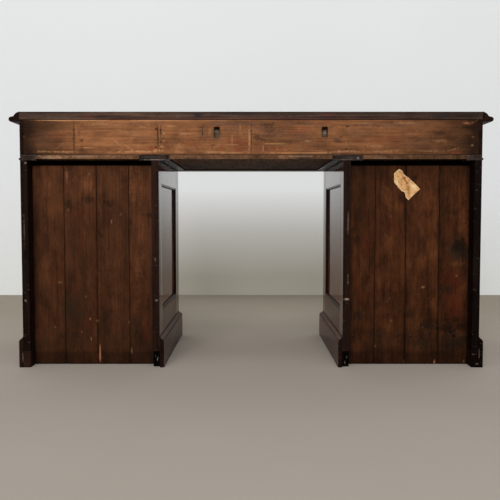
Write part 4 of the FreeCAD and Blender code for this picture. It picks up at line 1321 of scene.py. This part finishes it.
# Each pedestal's back is four upright pine boards, stained dark and nailed to the carcase.
# They have shrunk a little apart, and the one next to the kneehole is ripped narrower.
BACK_SHRINK = 0.0002
BACK_STEPS = (0.0028, None, 0.005)
BACK_SEAMS = {
    "right": [(0.3005, 0.0), (0.3735, 0.0035), (0.4735, 0.0035), (0.5735, 0.0035), (0.6735, 0.0)],
    "left": [(0.3005, 0.0), (0.3735, 0.0100), (0.4735, 0.0048), (0.5735, 0.0075), (0.6735, 0.0)],
}
BACK_MARKS = {
    "right": marks_of(STAINED, 0.5, [
        (500, 513, 22, 14, 0.5), (564, 502, 9, 18, 0.6), (441, 502, 22, 12, 0.5),
        (388, 573, 12, 15, 0.4), (462, 401, 12, 9, 0.6), (371, 444, 8, 12, 0.5), (312, 466, 12, 9, 0.6),
        (585, 334, 6, 15, 0.5), (552, 490, 6, 12, 0.4), (557, 610, 12, 12, 0.4), (603, 415, 9, 9, 0.25),
        (655, 587, 12, 9, 0.25), (589, 89, 6, 9, 0.5), (543, 92, 12, 9, 0.5), (435, 164, 9, 9, 0.3),
        (396, 84, 16, 12, 0.35), (355, 98, 8, 12, 0.5), (409, 45, 28, 6, 0.3), (482, 588, 4, 40, 0.3),
        (320, 590, 10, 20, 0.3),
    ])
    + marks_of(STAINED, 0.2, [
        (449, 504, 7, 4, 0.95), (433, 495, 7, 5, 0.9), (471, 470, 6, 6, 0.7), (333, 466, 6, 3, 0.7),
    ])
    + marks_of(GREASED, 0.65, [
        (500, 512, 22, 15, 0.4), (563, 177, 36, 50, 0.55), (530, 150, 20, 40, 0.4),
        (545, 77, 44, 25, 0.35), (424, 70, 44, 25, 0.4), (642, 61, 31, 25, 0.3),
        (564, 499, 12, 18, 0.4), (370, 120, 40, 40, 0.25),
    ])
    + marks_of(SCRAPED, 0.3, [
        (568, 585, 4, 25, 0.3), (565, 481, 5, 3, 0.3), (402, 469, 3, 3, 0.8), (431, 445, 2, 5, 0.8),
        (499, 591, 6, 3, 0.25), (612, 300, 3, 3, 0.35), (593, 257, 8, 2, 0.4), (513, 211, 3, 3, 0.4),
        (500, 144, 2, 5, 0.7), (478, 137, 5, 2, 0.4), (592, 125, 3, 3, 0.35), (610, 117, 3, 3, 0.35),
        (497, 79, 2, 5, 0.75), (528, 103, 4, 3, 0.3), (379, 133, 3, 3, 0.4), (372, 43, 3, 12, 0.25),
        (477, 287, 2, 3, 0.4),
    ])
    + marks_of(SCRAPED, 0.12, [(471, 34, 3, 36, 1.2, 2)])
    + marks_of(REDDENED, 0.6, [
        (471, 23, 11, 28, 0.7), (546, 239, 12, 19, 0.35), (507, 130, 19, 19, 0.3),
        (531, 466, 9, 37, 0.35), (592, 295, 19, 43, 0.2), (330, 108, 12, 50, 0.35),
        (523, 388, 9, 43, 0.3),
    ])
    + marks_of(WARMED, 0.6, [
        (502, 561, 25, 34, 0.5), (354, 555, 25, 62, 0.55), (350, 308, 22, 43, 0.5),
        (361, 177, 16, 28, 0.4), (542, 573, 12, 18, 0.4), (417, 444, 18, 31, 0.25),
        (566, 575, 5, 28, 0.5), (630, 560, 30, 40, 0.25), (342, 420, 14, 60, 0.3),
        (345, 240, 12, 50, 0.3),
    ]),
    "left": marks_of(STAINED, 0.5, [
        (-326, 451, 9, 4, 0.75, -10), (-342, 459, 6, 3, 0.6), (-315, 420, 9, 12, 0.4),
        # The mark at -465, 519 is the paper scrap's painted shadow; the long one at -474, 450 is partly
        # stain and partly painted shade down the seam below the scrap.
        (-326, 388, 16, 19, 0.5), (-465, 519, 15, 18, 0.7), (-503, 579, 9, 12, 0.65),
        (-406, 442, 7, 9, 0.6), (-463, 415, 5, 16, 0.5), (-626, 473, 18, 12, 0.5),
        (-384, 487, 6, 9, 0.5), (-374, 285, 6, 3, 0.5), (-605, 235, 25, 16, 0.4),
        (-391, 187, 12, 19, 0.45), (-487, 154, 16, 9, 0.5), (-559, 134, 25, 12, 0.6),
        (-474, 450, 5, 60, 0.6), (-667, 76, 16, 25, 0.5), (-643, 598, 28, 15, 0.2),
        (-642, 372, 34, 30, 0.85), (-640, 60, 40, 30, 0.6), (-600, 112, 50, 14, 0.7),
        (-545, 120, 36, 12, 0.6), (-655, 118, 30, 18, 0.7), (-642, 400, 30, 20, 0.4),
        (-600, 55, 70, 40, 0.55), (-500, 80, 50, 24, 0.5), (-380, 100, 60, 16, 0.4),
        (-655, 350, 18, 40, 0.6), (-330, 150, 20, 20, 0.4), (-430, 150, 30, 12, 0.25),
        (-600, 376, 26, 14, 0.45), (-520, 100, 14, 22, 0.6), (-575, 132, 16, 10, 0.7),
        (-640, 140, 22, 12, 0.55), (-430, 45, 90, 12, 0.35), (-570, 70, 12, 18, 0.5),
    ])
    + marks_of(STAINED, 0.3, [
        (-585, 410, 5, 6, 0.7), (-363, 273, 5, 5, 0.9), (-535, 271, 5, 5, 0.6), (-620, 224, 6, 4, 0.8),
        (-621, 103, 9, 9, 0.9), (-632, 89, 9, 8, 0.9), (-401, 92, 4, 7, 0.8), (-461, 92, 5, 8, 0.8),
        (-498, 89, 5, 8, 0.8), (-555, 95, 9, 6, 0.8), (-319, 89, 4, 6, 0.6), (-366, 92, 3, 9, 0.5),
        (-507, 67, 7, 6, 0.5), (-600, 86, 5, 7, 0.7), (-585, 98, 4, 9, 0.5),
    ])
    + marks_of(GREASED, 0.65, [
        (-640, 352, 38, 36, 0.75), (-605, 235, 26, 16, 0.3), (-391, 189, 12, 25, 0.35),
        (-339, 155, 25, 25, 0.4), (-527, 61, 50, 22, 0.45), (-636, 76, 40, 34, 0.6),
        (-317, 202, 9, 44, 0.45), (-540, 122, 50, 18, 0.4), (-400, 80, 60, 30, 0.3),
    ])
    + marks_of(SCRAPED, 0.25, [
        (-600, 534, 4, 3, 0.25), (-433, 463, 3, 3, 0.2), (-534, 242, 7, 3, 0.5, 10),
        (-637, 277, 4, 3, 0.35), (-535, 116, 2, 5, 0.5), (-388, 58, 2, 4, 0.4), (-435, 137, 3, 3, 0.35),
        (-572, 7, 3, 7, 0.9), (-478, 8, 2, 6, 0.5), (-664, 8, 4, 6, 0.3), (-430, 205, 3, 4, 0.3),
        (-424, 197, 3, 4, 0.3),
    ])
    + marks_of(WARMED, 0.6, [
        (-416, 525, 25, 37, 0.4), (-420, 373, 25, 43, 0.4), (-659, 470, 15, 25, 0.4),
        (-558, 187, 16, 28, 0.6), (-366, 237, 9, 25, 0.4), (-517, 320, 28, 37, 0.35),
        (-344, 573, 25, 31, 0.25), (-345, 330, 14, 60, 0.4), (-648, 430, 16, 40, 0.3),
        (-645, 200, 20, 60, 0.4), (-420, 130, 30, 50, 0.25), (-640, 314, 28, 9, 0.6),
        (-610, 200, 20, 70, 0.25),
    ])
    + marks_of(REDDENED, 0.6, [
        (-625, 265, 42, 40, 0.5), (-636, 185, 36, 60, 0.5), (-347, 215, 19, 25, 0.35),
        (-356, 373, 19, 37, 0.35), (-435, 435, 25, 37, 0.3), (-614, 435, 25, 25, 0.3),
        (-330, 260, 12, 60, 0.3),
    ]),
}
BACK_GROOVES = {
    "right": [(0, 0.4732, -0.01, 0.070, 0.0016, 0.003, 0.002)],
    "left": [],
}
# Each seam is darkened a little way to either side: partly the dark joint and partly painted shade.
SEAM_REACH = 0.004
SEAM_SHADE_DEPTHS = {"right": (0.12, 0.34, 0.28), "left": (0.2, 0.4, 0.25)}

# Up to the foot line the boards are darkest, and from the head line on they change again.
FOOT_LINE = 0.036
FOOT_FADE = 0.008
FOOT_TONE = {"right": 0.76, "left": 0.69}
HEAD_LINE = {"right": 0.44, "left": 0.53}
HEAD_FADE = 0.07
HEAD_LIFT = {"right": 0.26, "left": -0.2}
BACK_TONES = {"right": [0.98, 0.96, 0.92, 0.98], "left": [0.75, 1.04, 0.9, 0.74]}
PINE_MOTTLE = {"right": 0.38, "left": 0.55}
PINE_FIGURE = {"right": 0.22, "left": 0.34}
PINE_STAINS = {
    "right": [(75, 43, 24), (47, 27, 16), (24, 14, 10)],
    "left": [(73, 40, 20), (45, 24, 12), (22, 12, 7)],
}
dark_pine = {}
for hand in PEDESTALS:
    dark_pine[hand] = wood(
        f"dark_pine_{hand}",
        *PINE_STAINS[hand],
        rings_per_metre=120.0,
        ring_depth=0.25,
        fibre_depth=0.42,
        pore_depth=0.2,
        figure_depth=PINE_FIGURE[hand],
        mottle_depth=PINE_MOTTLE[hand],
        cloud=0.4,
        specks=0.35,
        scuffs=0.05,
        roughness=(0.4, 0.56),
        specular=0.03,
        worn=(104, 68, 46),
        wear=0.3,
        dirt=(12, 7, 5),
        dirt_and_shade_share=0.9,
        stain=(14, 10, 8),
        scraped=(178, 128, 92),
        reddened=(76, 30, 16),
        greased=(42, 32, 20),
    )


def back_shade(hand):
    """Darker at the foot, below the carcase's bottom board, and a little along the seams, partly
    the joints and partly painted shade. The top is drawn lighter at the right hand and darker at the
    left."""
    seams = [out + moved for out, moved in BACK_SEAMS[hand][1:-1]]

    def shade(place):
        wave = 0.006 * noise.noise(Vector((place.x * 20, 4.0, 0)))
        foot = ramp(place.z + wave, FOOT_LINE, FOOT_FADE)
        low = ramp(place.z, 0.03, 0.30)
        seam_shaded = 1.0
        for seam, depth in zip(seams, SEAM_SHADE_DEPTHS[hand]):
            away = (abs(place.x) - seam) / SEAM_REACH
            seam_shaded -= depth * math.exp(-away * away)
        high = ramp(place.z, HEAD_LINE[hand], HEAD_FADE)
        body = FOOT_TONE[hand] + (1 - FOOT_TONE[hand]) * low
        return (0.60 + 0.40 * foot) * body * seam_shaded * (1.0 + HEAD_LIFT[hand] * high)

    return shade


def back_bend(hand):
    """Boards of uneven width, each cupped and twisted a little on its own."""
    seams = BACK_SEAMS[hand]
    way = 1 if hand == "right" else -1

    def bent(place, number):
        out = abs(place.x)
        moved = 0.0
        for (near, near_move), (far, far_move) in zip(seams, seams[1:]):
            if near <= out <= far:
                moved = near_move + (far_move - near_move) * (out - near) / (far - near)
        lift = noise.noise(Vector((place.x * 6, number * 5.3, place.z * 3))) * 0.0008
        return Vector((way * moved, -abs(lift), 0))

    return bent


for hand in PEDESTALS:
    dress(
        f"{hand}_back_boards",
        dark_pine[hand],
        edge=0.0005,
        steps=BACK_STEPS,
        bend=back_bend(hand),
        shades=BACK_TONES[hand],
        shade_at=back_shade(hand),
        marks=BACK_MARKS[hand],
        grooves=BACK_GROOVES[hand],
        shrink=BACK_SHRINK,
        only_rear=True,
    )


# The boards are held by cut nails along the bottom board of the carcase, and the frieze's back
# board by four into the dividers. Their heads have rusted black and stand a hair proud.
NAIL_HEAD_RADIUS = 0.0024
NAIL_HEAD_RISE = 0.0005
NAIL_HEAD_SINK = 0.0015
NAIL_SIDES = 10
REAR_OF_BOARDS = 0.2508
REAR_OF_BRUISE = 0.2954
NAIL_HEIGHT = 0.0925
BACK_NAILS = {
    "right": [0.640, 0.586, 0.541, 0.508, 0.436, 0.395, 0.354, 0.320],
    "left": [-0.317, -0.365, -0.400, -0.460, -0.497, -0.553, -0.617, -0.655],
}

rusty_iron, tree, shader = finish_named("rusty_iron")
place = put(tree, "NewGeometry").outputs["Position"]
rust = put(tree, "TexNoise", {"Vector": place, "Scale": 700.0, "Detail": 3.0}).outputs["Fac"]
rust_share = stretch(tree, rust, 0.4, 0.65)
tree.links.new(mix(tree, rust_share, paint(24, 20, 18), paint(62, 36, 24)), shader.inputs["Base Color"])
tree.links.new(stretch(tree, rust_share, 0, 1, 0.45, 0.8), shader.inputs["Roughness"])
shader.inputs["Metallic"].default_value = 0.5
raise_by(tree, shader, rust, 0.5, 0.0002)


def turn_out(piece):
    """Turns all of a closed piece's faces outward."""
    shape = bmesh.new()
    shape.from_mesh(piece.data)
    bmesh.ops.recalc_face_normals(shape, faces=shape.faces[:])
    shape.to_mesh(piece.data)
    shape.free()


def drive_nails(name, heads, surface):
    """Cut nails' heads, slightly domed and irregular, seated in a rear face."""
    points = []
    faces = []
    for number, (x, z) in enumerate(heads):
        draw = random.Random(f"{name} {number}")
        first = len(points)
        lean = draw.uniform(0, 1)
        rings = ((1.0, -NAIL_HEAD_SINK), (1.0, 0.0), (0.6, NAIL_HEAD_RISE))
        for share, out in rings:
            for k in range(NAIL_SIDES):
                turn = 2 * math.pi * (k + lean) / NAIL_SIDES
                reach = NAIL_HEAD_RADIUS * share * (1 + 0.12 * math.sin(3 * turn + number))
                points.append((x + reach * math.cos(turn), surface + out, z + reach * math.sin(turn)))
        for ring in range(2):
            for k in range(NAIL_SIDES):
                a = first + ring * NAIL_SIDES + k
                b = first + ring * NAIL_SIDES + (k + 1) % NAIL_SIDES
                faces.append([a, b, b + NAIL_SIDES, a + NAIL_SIDES])
        faces.append([first + k for k in reversed(range(NAIL_SIDES))])
        faces.append([first + 2 * NAIL_SIDES + k for k in range(NAIL_SIDES)])
    piece = new_object(name, points, faces)
    turn_out(piece)
    piece.data.shade_smooth()
    piece.data.materials.append(rusty_iron)
    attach(piece, "case")
    return piece


for hand in PEDESTALS:
    heads = [(x, NAIL_HEIGHT + 0.002 * math.sin(x * 90)) for x in BACK_NAILS[hand]]
    drive_nails(f"{hand}_back_nails", heads, REAR_OF_BOARDS)
drive_nails("frieze_nails", FRIEZE_NAILS, REAR_OF_BRUISE)


# A torn scrap of old brown paper is still pasted on one back board, curling off at its
# corners, with a darker fold across it.
SCRAP_OUTLINE = [
    (-440, 593), (-447, 600), (-454, 606), (-460, 604), (-465, 600), (-470, 591), (-476, 585),
    (-487, 578), (-506, 560), (-520, 545), (-503, 529), (-485, 511), (-477, 519), (-475, 528),
    (-472, 537), (-463, 539), (-453, 550), (-443, 562), (-440, 569), (-440, 580),
]
SCRAP_THICKNESS = 0.0002
SCRAP_MARKS = (
    marks_of(STAINED, 0.6, [
        (-466, 592, 10, 6, 0.6, 50), (-472, 579, 12, 8, 0.9, 60), (-480, 564, 12, 8, 0.9, 60),
        (-484, 549, 8, 11, 0.8), (-487, 533, 7, 10, 0.7), (-452, 583, 5, 3, 0.4, 30),
        (-458, 598, 6, 2, 0.5, 30), (-461, 560, 7, 3, 0.35, 40), (-446, 573, 4, 5, 0.3),
        (-500, 548, 5, 3, 0.25), (-470, 546, 6, 3, 0.4, 40), (-490, 520, 5, 6, 0.4),
    ])
    + marks_of(SCRAPED, 0.6, [
        # The short pale mark at -456, 603 is a painted highlight along the paper's lifted top edge.
        (-500, 553, 15, 8, 0.8, 42), (-447, 571, 4, 14, 0.7), (-456, 603, 7, 2, 0.8, -20),
        (-492, 530, 6, 10, 0.5), (-452, 560, 10, 4, 0.6, 50),
    ])
)
TORN_EDGE = 0.0016


def curl(x, z):
    """How far the paper stands off the board."""
    off = 0.0004 + 0.0010 * max(0.0, noise.noise(Vector((x * 60, 2.2, z * 60))) + 0.3)
    tip = max(0.0, (-x - 0.503) / 0.017)
    top = max(0.0, (z - 0.592) / 0.014)
    fold = math.exp(-(((x + 0.466) * 0.67 + (z - 0.573) * 0.74) / 0.003) ** 2)
    return off + 0.003 * tip * tip + 0.0022 * top * top + 0.0012 * fold


torn_line = []
for (x, z), (next_x, next_z) in zip(SCRAP_OUTLINE, SCRAP_OUTLINE[1:] + SCRAP_OUTLINE[:1]):
    for step in range(3):
        at_x = (x + (next_x - x) * step / 3) / 1000
        at_z = (z + (next_z - z) * step / 3) / 1000
        torn = 0.0006 * noise.noise(Vector((at_x * 900, 0.5, at_z * 900)))
        torn_line.append((at_x + torn, at_z - torn))
scrap = bmesh.new()
scrap.faces.new([scrap.verts.new((x, REAR_OF_BOARDS, z)) for x, z in torn_line])
mark_out(scrap, (0.0025, None, 0.0025))
bmesh.ops.triangulate(scrap, faces=scrap.faces[:])
for v in scrap.verts:
    v.co.y = REAR_OF_BOARDS + curl(v.co.x, v.co.z)
front = bmesh.ops.extrude_face_region(scrap, geom=scrap.faces[:])["geom"]
for v in front:
    if isinstance(v, bmesh.types.BMVert):
        v.co.y += SCRAP_THICKNESS
bmesh.ops.recalc_face_normals(scrap, faces=scrap.faces[:])
stain = scrap.verts.layers.float_color.new("marks")
for v in scrap.verts:
    found, _ = marks_at(SCRAP_MARKS, v.co.x, v.co.z)
    inward = min(math.hypot(v.co.x - x, v.co.z - z) for x, z in torn_line)
    if inward < TORN_EDGE:
        found[SCRAPED] = max(found[SCRAPED], 0.8)
        found[STAINED] *= 0.3
    v[stain] = found
scrap_mesh = bpy.data.meshes.new("paper_scrap")
scrap.to_mesh(scrap_mesh)
scrap.free()
scrap_mesh.shade_smooth()
paper_scrap = bpy.data.objects.new("paper_scrap", scrap_mesh)
bpy.context.scene.collection.objects.link(paper_scrap)

old_paper, tree, shader = finish_named("old_paper")
place = put(tree, "NewGeometry").outputs["Position"]
marks = put(tree, "Attribute", attribute_name="marks").outputs["Color"]
marks = put(tree, "SeparateColor", {0: marks}).outputs
pulp = put(tree, "TexNoise", {"Vector": place, "Scale": 260.0, "Detail": 5.0}).outputs["Fac"]
foxing = put(tree, "TexNoise", {"Vector": place, "Scale": 70.0, "Detail": 3.0}).outputs["Fac"]
colour = mix(tree, stretch(tree, pulp, 0.3, 0.7), paint(236, 190, 130), paint(204, 152, 96))
colour = mix(tree, stretch(tree, foxing, 0.55, 0.72, 0.0, 0.6), colour, paint(160, 104, 66))
colour = mix(tree, sum_of(tree, marks["Green"], 0.9), colour, paint(250, 222, 178))
colour = mix(tree, marks["Red"], colour, paint(150, 94, 56))
tree.links.new(colour, shader.inputs["Base Color"])
tree.links.new(stretch(tree, pulp, 0.3, 0.7, 0.7, 0.9), shader.inputs["Roughness"])
shader.inputs["Specular IOR Level"].default_value = 0.2
raise_by(tree, shader, pulp, 0.6, 0.0003)
scrap_mesh.materials.append(old_paper)
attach(paper_scrap, "case")


# The carcase inside a pedestal: a pine board at its foot and one at its top, and for each
# drawer gap a front rail of mahogany and two runners, stub tenoned into the stiles.
# A near-black finish that stands for the deep shade inside the case: painted shade.
shade_black_wood = wood(
    "shade_black_wood",
    (8, 6, 5), (4, 3, 3), (2, 2, 2),
    scraped=(150, 148, 142),
    specular=0.0,
    wear=0.0,
    dust_share=0.0,
    scuffs=0.0,
    roughness=(0.8, 0.9),
)


def in_deep_shade(normal, place):
    """The rear ends of the boards, drawn near black as painted shade inside the case."""
    return place.y > 0.15


for hand in PEDESTALS:
    dress(
        f"{hand}_carcase_boards",
        bare_pine,
        steps=(None, 0.05, None),
        others=[(shade_black_wood, in_deep_shade), (polished_mahogany, looks_out)],
    )
    dress(f"{hand}_drawer_rails", polished_mahogany, polish=rear_dull)


# The plinth is a front and two side boards with a moulded upper edge, mitred at the front
# and open at the rear, where foot blocks stiffen it. Its rear ends are worn by moving.
def plinth_polish(normal, place):
    """Shoes and mops have dulled the plinth, most of all near the floor."""
    if normal.y > 0.5:
        return 0.05
    if normal.z > 0.2:
        return 0.3
    return 0.36 + 0.2 * min(1.0, place.z / 0.09)


def never_polished(normal, place):
    """The plinth's rear ends, its foot blocks and its faces inside the pedestal."""
    return normal.y > 0.4 or (0.292 < abs(place.x) < 0.682 and place.y > -0.255 and normal.z < 0.5)


# Pale scratches on the plinth's rear ends, and painted glints such as the spot at 675, 75 and the line
# at 681, 57.
FOOT_SCRATCHES_AND_GLINTS = marks_of(SCRAPED, 0.3, [
    (681, 57, 9, 1.5, 0.5), (675, 75, 3, 3, 0.7), (-681, 60, 12, 1.5, 0.35), (-676, 57, 3, 4, 0.4),
    (690, 88, 2, 6, 0.45), (684, 40, 12, 1.5, 0.35), (670, 26, 1.5, 14, 0.35), (697, 30, 2, 20, 0.3),
    (-696, 45, 1.5, 18, 0.3), (-684, 84, 10, 1.5, 0.3), (-668, 30, 1.5, 12, 0.3),
    (-690, 12, 6, 1.5, 0.3),
])
for hand in PEDESTALS:
    dress(
        f"{hand}_plinth",
        polished_mahogany,
        edge=0.001,
        steps=(0.003, None, 0.004),
        shade_at=foot_shade,
        polish=plinth_polish,
        marks=FOOT_SCRATCHES_AND_GLINTS,
        others=[(dull_edges, never_polished)],
        only_rear=True,
    )


# Behind the plinth's inner rear ends a small block stands under the stile, drawn near black as
# painted deep shade, with painted glints on it.
BLOCK_LOW = (0.2795, 0.256, 0.0005)
BLOCK_HIGH = (0.2998, 0.284, 0.0495)
BLOCK_GLINTS = marks_of(SCRAPED, 0.3, [
    (287, 24, 1.5, 8, 0.9, 15), (-288, 12, 1.5, 5, 0.7, -20), (-294, 30, 1.5, 4, 0.4),
    (294, 33, 1, 3, 0.4),
])
BLOCK_STEPS = (0.002, None, 0.003)
for hand, way in (("right", 1), ("left", -1)):
    block = bmesh.new()
    bmesh.ops.create_cube(block, size=1.0)
    for v in block.verts:
        for axis in range(3):
            v.co[axis] = BLOCK_HIGH[axis] if v.co[axis] > 0 else BLOCK_LOW[axis]
        v.co.x *= way
    bmesh.ops.recalc_face_normals(block, faces=block.faces[:])
    dress(
        f"{hand}_rear_corner_block",
        shade_black_wood,
        edge=0.0015,
        steps=BLOCK_STEPS,
        marks=BLOCK_GLINTS,
        only_rear=True,
        boards=[block],
    )


# Drawers: a mahogany front, and sides, back and bottom of oak, dovetailed at the corners
# and left bare. Each frieze drawer has one pull at each end like the pedestal drawers.
oak = wood(
    "bare_oak",
    (178, 140, 96), (138, 102, 66), (86, 60, 38),
    rings_per_metre=220.0,
    ring_depth=0.4,
    fibre_depth=0.5,
    pore_depth=0.45,
    figure_depth=0.18,
    cloud=0.15,
    specks=0.1,
    roughness=(0.5, 0.66),
    specular=0.25,
    worn=(196, 160, 118),
    wear=0.25,
    dirt=(58, 42, 30),
    scraped=(176, 172, 154),
)
DRAWERS = [f"{hand}_{level}_drawer" for hand in PEDESTALS for level in ("bottom", "middle", "top")]
FRIEZE_DRAWERS = [f"{place}_frieze_drawer" for place in ("right", "centre", "left")]


def box_back_painted_shade(place):
    """The outside of a drawer's back is drawn darker, as painted shade inside the case."""
    return 0.4 if place.y > 0.22 else 1.0


# A pale patch on each frieze drawer's back, where it shows through a hand slot.
SLOT_PALE_PATCHES = marks_of(SCRAPED, 0.4, [(108, 719, 5, 9, 1.0), (-226, 719, 5, 9, 1.0)])
for drawer in DRAWERS + FRIEZE_DRAWERS:
    dress(f"{drawer}_front", polished_mahogany, edge=0.0007, steps=(0.03, None, 0.03))
    dress(
        f"{drawer}_box",
        oak,
        edge=0.0004,
        steps=(0.006, None, 0.006) if drawer in FRIEZE_DRAWERS else None,
        shade_at=box_back_painted_shade,
        marks=SLOT_PALE_PATCHES if drawer in FRIEZE_DRAWERS else (),
        only_rear=True,
    )

KNOB_OUTLINE = [
    (0.56, 0.0), (0.40, 0.18), (0.44, 0.38), (0.92, 0.58), (1.0, 0.72), (0.84, 0.92), (0.40, 0.99),
    (0.0, 1.0),
]
KNOB_ROUND = 40
KNOB_CURVE = 5


def knob_curve():
    """The knob's outline as a smooth curve between the CAD knob's sizes."""
    radii = []
    last = len(KNOB_OUTLINE) - 1
    for k in range(last):
        before = KNOB_OUTLINE[max(0, k - 1)]
        here = KNOB_OUTLINE[k]
        after = KNOB_OUTLINE[k + 1]
        beyond = KNOB_OUTLINE[min(last, k + 2)]
        for step in range(KNOB_CURVE):
            t = step / KNOB_CURVE
            point = []
            for j in range(2):
                ease = (after[j] - before[j]) / 2
                leave = (beyond[j] - here[j]) / 2
                a = 2 * here[j] - 2 * after[j] + ease + leave
                b = -3 * here[j] + 3 * after[j] - 2 * ease - leave
                point.append(((a * t + b) * t + ease) * t + here[j])
            radii.append((min(1.0, max(0.02, point[0])), min(1.0, max(0.0, point[1]))))
    return radii


def lay_on_knobs(mesh, grains):
    """Gives every point of turned knobs its place in the grain, and no marks."""
    laid = mesh.attributes
    for name, kind in (("grain", "FLOAT_VECTOR"), ("tone", "FLOAT"), ("polish", "FLOAT")):
        laid.new(name, kind, "POINT")
    laid.new("marks", "FLOAT_COLOR", "POINT")
    for k, place in enumerate(grains):
        laid["grain"].data[k].vector = place
        laid["tone"].data[k].value = 1.0
        laid["polish"].data[k].value = 1.0
        laid["marks"].data[k].color = (0.0, 0.0, 0.0, 0.0)


def turned_knob(node):
    """Turns the pair of knobs of a drawer."""
    radii = knob_curve()
    points = []
    faces = []
    grains = []
    for number, board in enumerate(boards_of(node)):
        low, high = box_of(board)
        board.free()
        draw = random.Random(f"{node} knob {number}")
        start = Vector((draw.uniform(0, 5), draw.uniform(-0.2, 0.2), draw.uniform(0.02, 0.08)))
        middle = Vector(((low[0] + high[0]) / 2, high[1], (low[2] + high[2]) / 2))
        radius = (high[0] - low[0]) / 2
        length = high[1] - low[1]
        first = len(points)
        for share, out in radii:
            for k in range(KNOB_ROUND):
                turn = 2 * math.pi * k / KNOB_ROUND
                reach = radius * share
                step = Vector((math.cos(turn) * reach, -out * length, math.sin(turn) * reach))
                points.append(middle + step)
                grains.append(start + Vector((step.z, step.x, step.y)))
        tip = len(points)
        points.append(middle + Vector((0, -length, 0)))
        grains.append(start + Vector((0, 0, -length)))
        for ring in range(len(radii) - 1):
            for k in range(KNOB_ROUND):
                a = first + ring * KNOB_ROUND + k
                b = first + ring * KNOB_ROUND + (k + 1) % KNOB_ROUND
                faces.append([a, b, b + KNOB_ROUND, a + KNOB_ROUND])
        outer = first + (len(radii) - 1) * KNOB_ROUND
        for k in range(KNOB_ROUND):
            faces.append([outer + k, outer + (k + 1) % KNOB_ROUND, tip])
        faces.append([first + k for k in reversed(range(KNOB_ROUND))])
    piece = new_object(node + "_turned", points, faces)
    turn_out(piece)
    lay_on_knobs(piece.data, grains)
    piece.data.shade_smooth()
    piece.data.materials.append(polished_mahogany)
    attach(piece, frame["nodes"][node]["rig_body"])
    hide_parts(node)
    return piece


for drawer in DRAWERS + FRIEZE_DRAWERS:
    turned_knob(f"{drawer}_knobs")


# Each frieze drawer has a brass lock let into the back of its front, whose bolt rises into
# the rail above. The brass has gone brown and keeps its colour on the edges.
aged_brass, tree, shader = finish_named("aged_brass")
place = put(tree, "NewGeometry").outputs["Position"]
tarnish = put(tree, "TexNoise", {"Vector": place, "Scale": 90.0, "Detail": 5.0}).outputs["Fac"]
scratches = stretched_noise(tree, place, (60.0, 900.0, 900.0), 2.0)["Fac"]
rubbed = put(tree, "Group", {"Grain": place}, node_tree=worn_edges).outputs["Wear"]
dulled = stretch(tree, tarnish, 0.35, 0.65)
brass_colour = mix(tree, dulled, paint(176, 138, 72), paint(112, 82, 42))
brass_colour = mix(tree, rubbed, brass_colour, paint(214, 180, 108))
tree.links.new(brass_colour, shader.inputs["Base Color"])
shader.inputs["Metallic"].default_value = 1.0
rough = stretch(tree, dulled, 0.0, 1.0, 0.28, 0.5)
tree.links.new(rough, shader.inputs["Roughness"])
raise_by(tree, shader, scratches, 0.3, 0.0001)
for drawer in FRIEZE_DRAWERS:
    dress(f"{drawer}_lock", aged_brass, edge=0.0004)
    dress(f"{drawer}_lock_bolt", aged_brass, edge=0.0003)


# A brass thread lines each keyhole: a thin band bent to the hole's shape and driven in, which
# stands a hair proud of the drawer front.
KEYHOLE_DROP = 0.020
KEYHOLE_RADIUS = 0.0025
KEYHOLE_SLOT = 0.0015
KEYHOLE_LENGTH = 0.008
THREAD_INSIDE = 0.0001
THREAD_OUTSIDE = 0.0013
THREAD_RISE = 0.0003
THREAD_DEPTH = 0.003
THREAD_ROUND = 24


def keyhole_line(grown):
    """The keyhole's outline about its round end, grown outward by a width."""
    radius = KEYHOLE_RADIUS + grown
    half = KEYHOLE_SLOT + grown
    start = math.asin(half / radius) - math.pi / 2
    sweep = 2 * math.pi - 2 * math.asin(half / radius)
    turns = [start + sweep * k / THREAD_ROUND for k in range(THREAD_ROUND + 1)]
    line = [(radius * math.cos(turn), radius * math.sin(turn)) for turn in turns]
    foot = -KEYHOLE_LENGTH - grown
    return line + [(-half, foot), (half, foot)]


def line_keyhole(drawer):
    """Lines the keyhole of one drawer."""
    lock_low, lock_high = box_of(boards_of(f"{drawer}_lock")[0])
    front = box_of(boards_of(f"{drawer}_front")[0])[0][1]
    middle = (lock_low[0] + lock_high[0]) / 2
    height = lock_high[2] - KEYHOLE_DROP
    inside = keyhole_line(THREAD_INSIDE)
    outside = keyhole_line(THREAD_OUTSIDE)
    levels = (front - THREAD_RISE, front + THREAD_DEPTH)
    rings = [(inside, levels[0]), (outside, levels[0]), (outside, levels[1]), (inside, levels[1])]
    points = [(middle + x, y, height + z) for line, y in rings for x, z in line]
    count = len(inside)
    faces = []
    for ring in range(4):
        for k in range(count):
            a = ring * count + k
            b = ring * count + (k + 1) % count
            on = count if ring < 3 else -3 * count
            faces.append([a, b, b + on, a + on])
    piece = new_object(f"{drawer}_keyhole_thread", points, faces)
    turn_out(piece)
    piece.data.materials.append(aged_brass)
    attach(piece, frame["nodes"][f"{drawer}_front"]["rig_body"])


for drawer in FRIEZE_DRAWERS:
    line_keyhole(drawer)
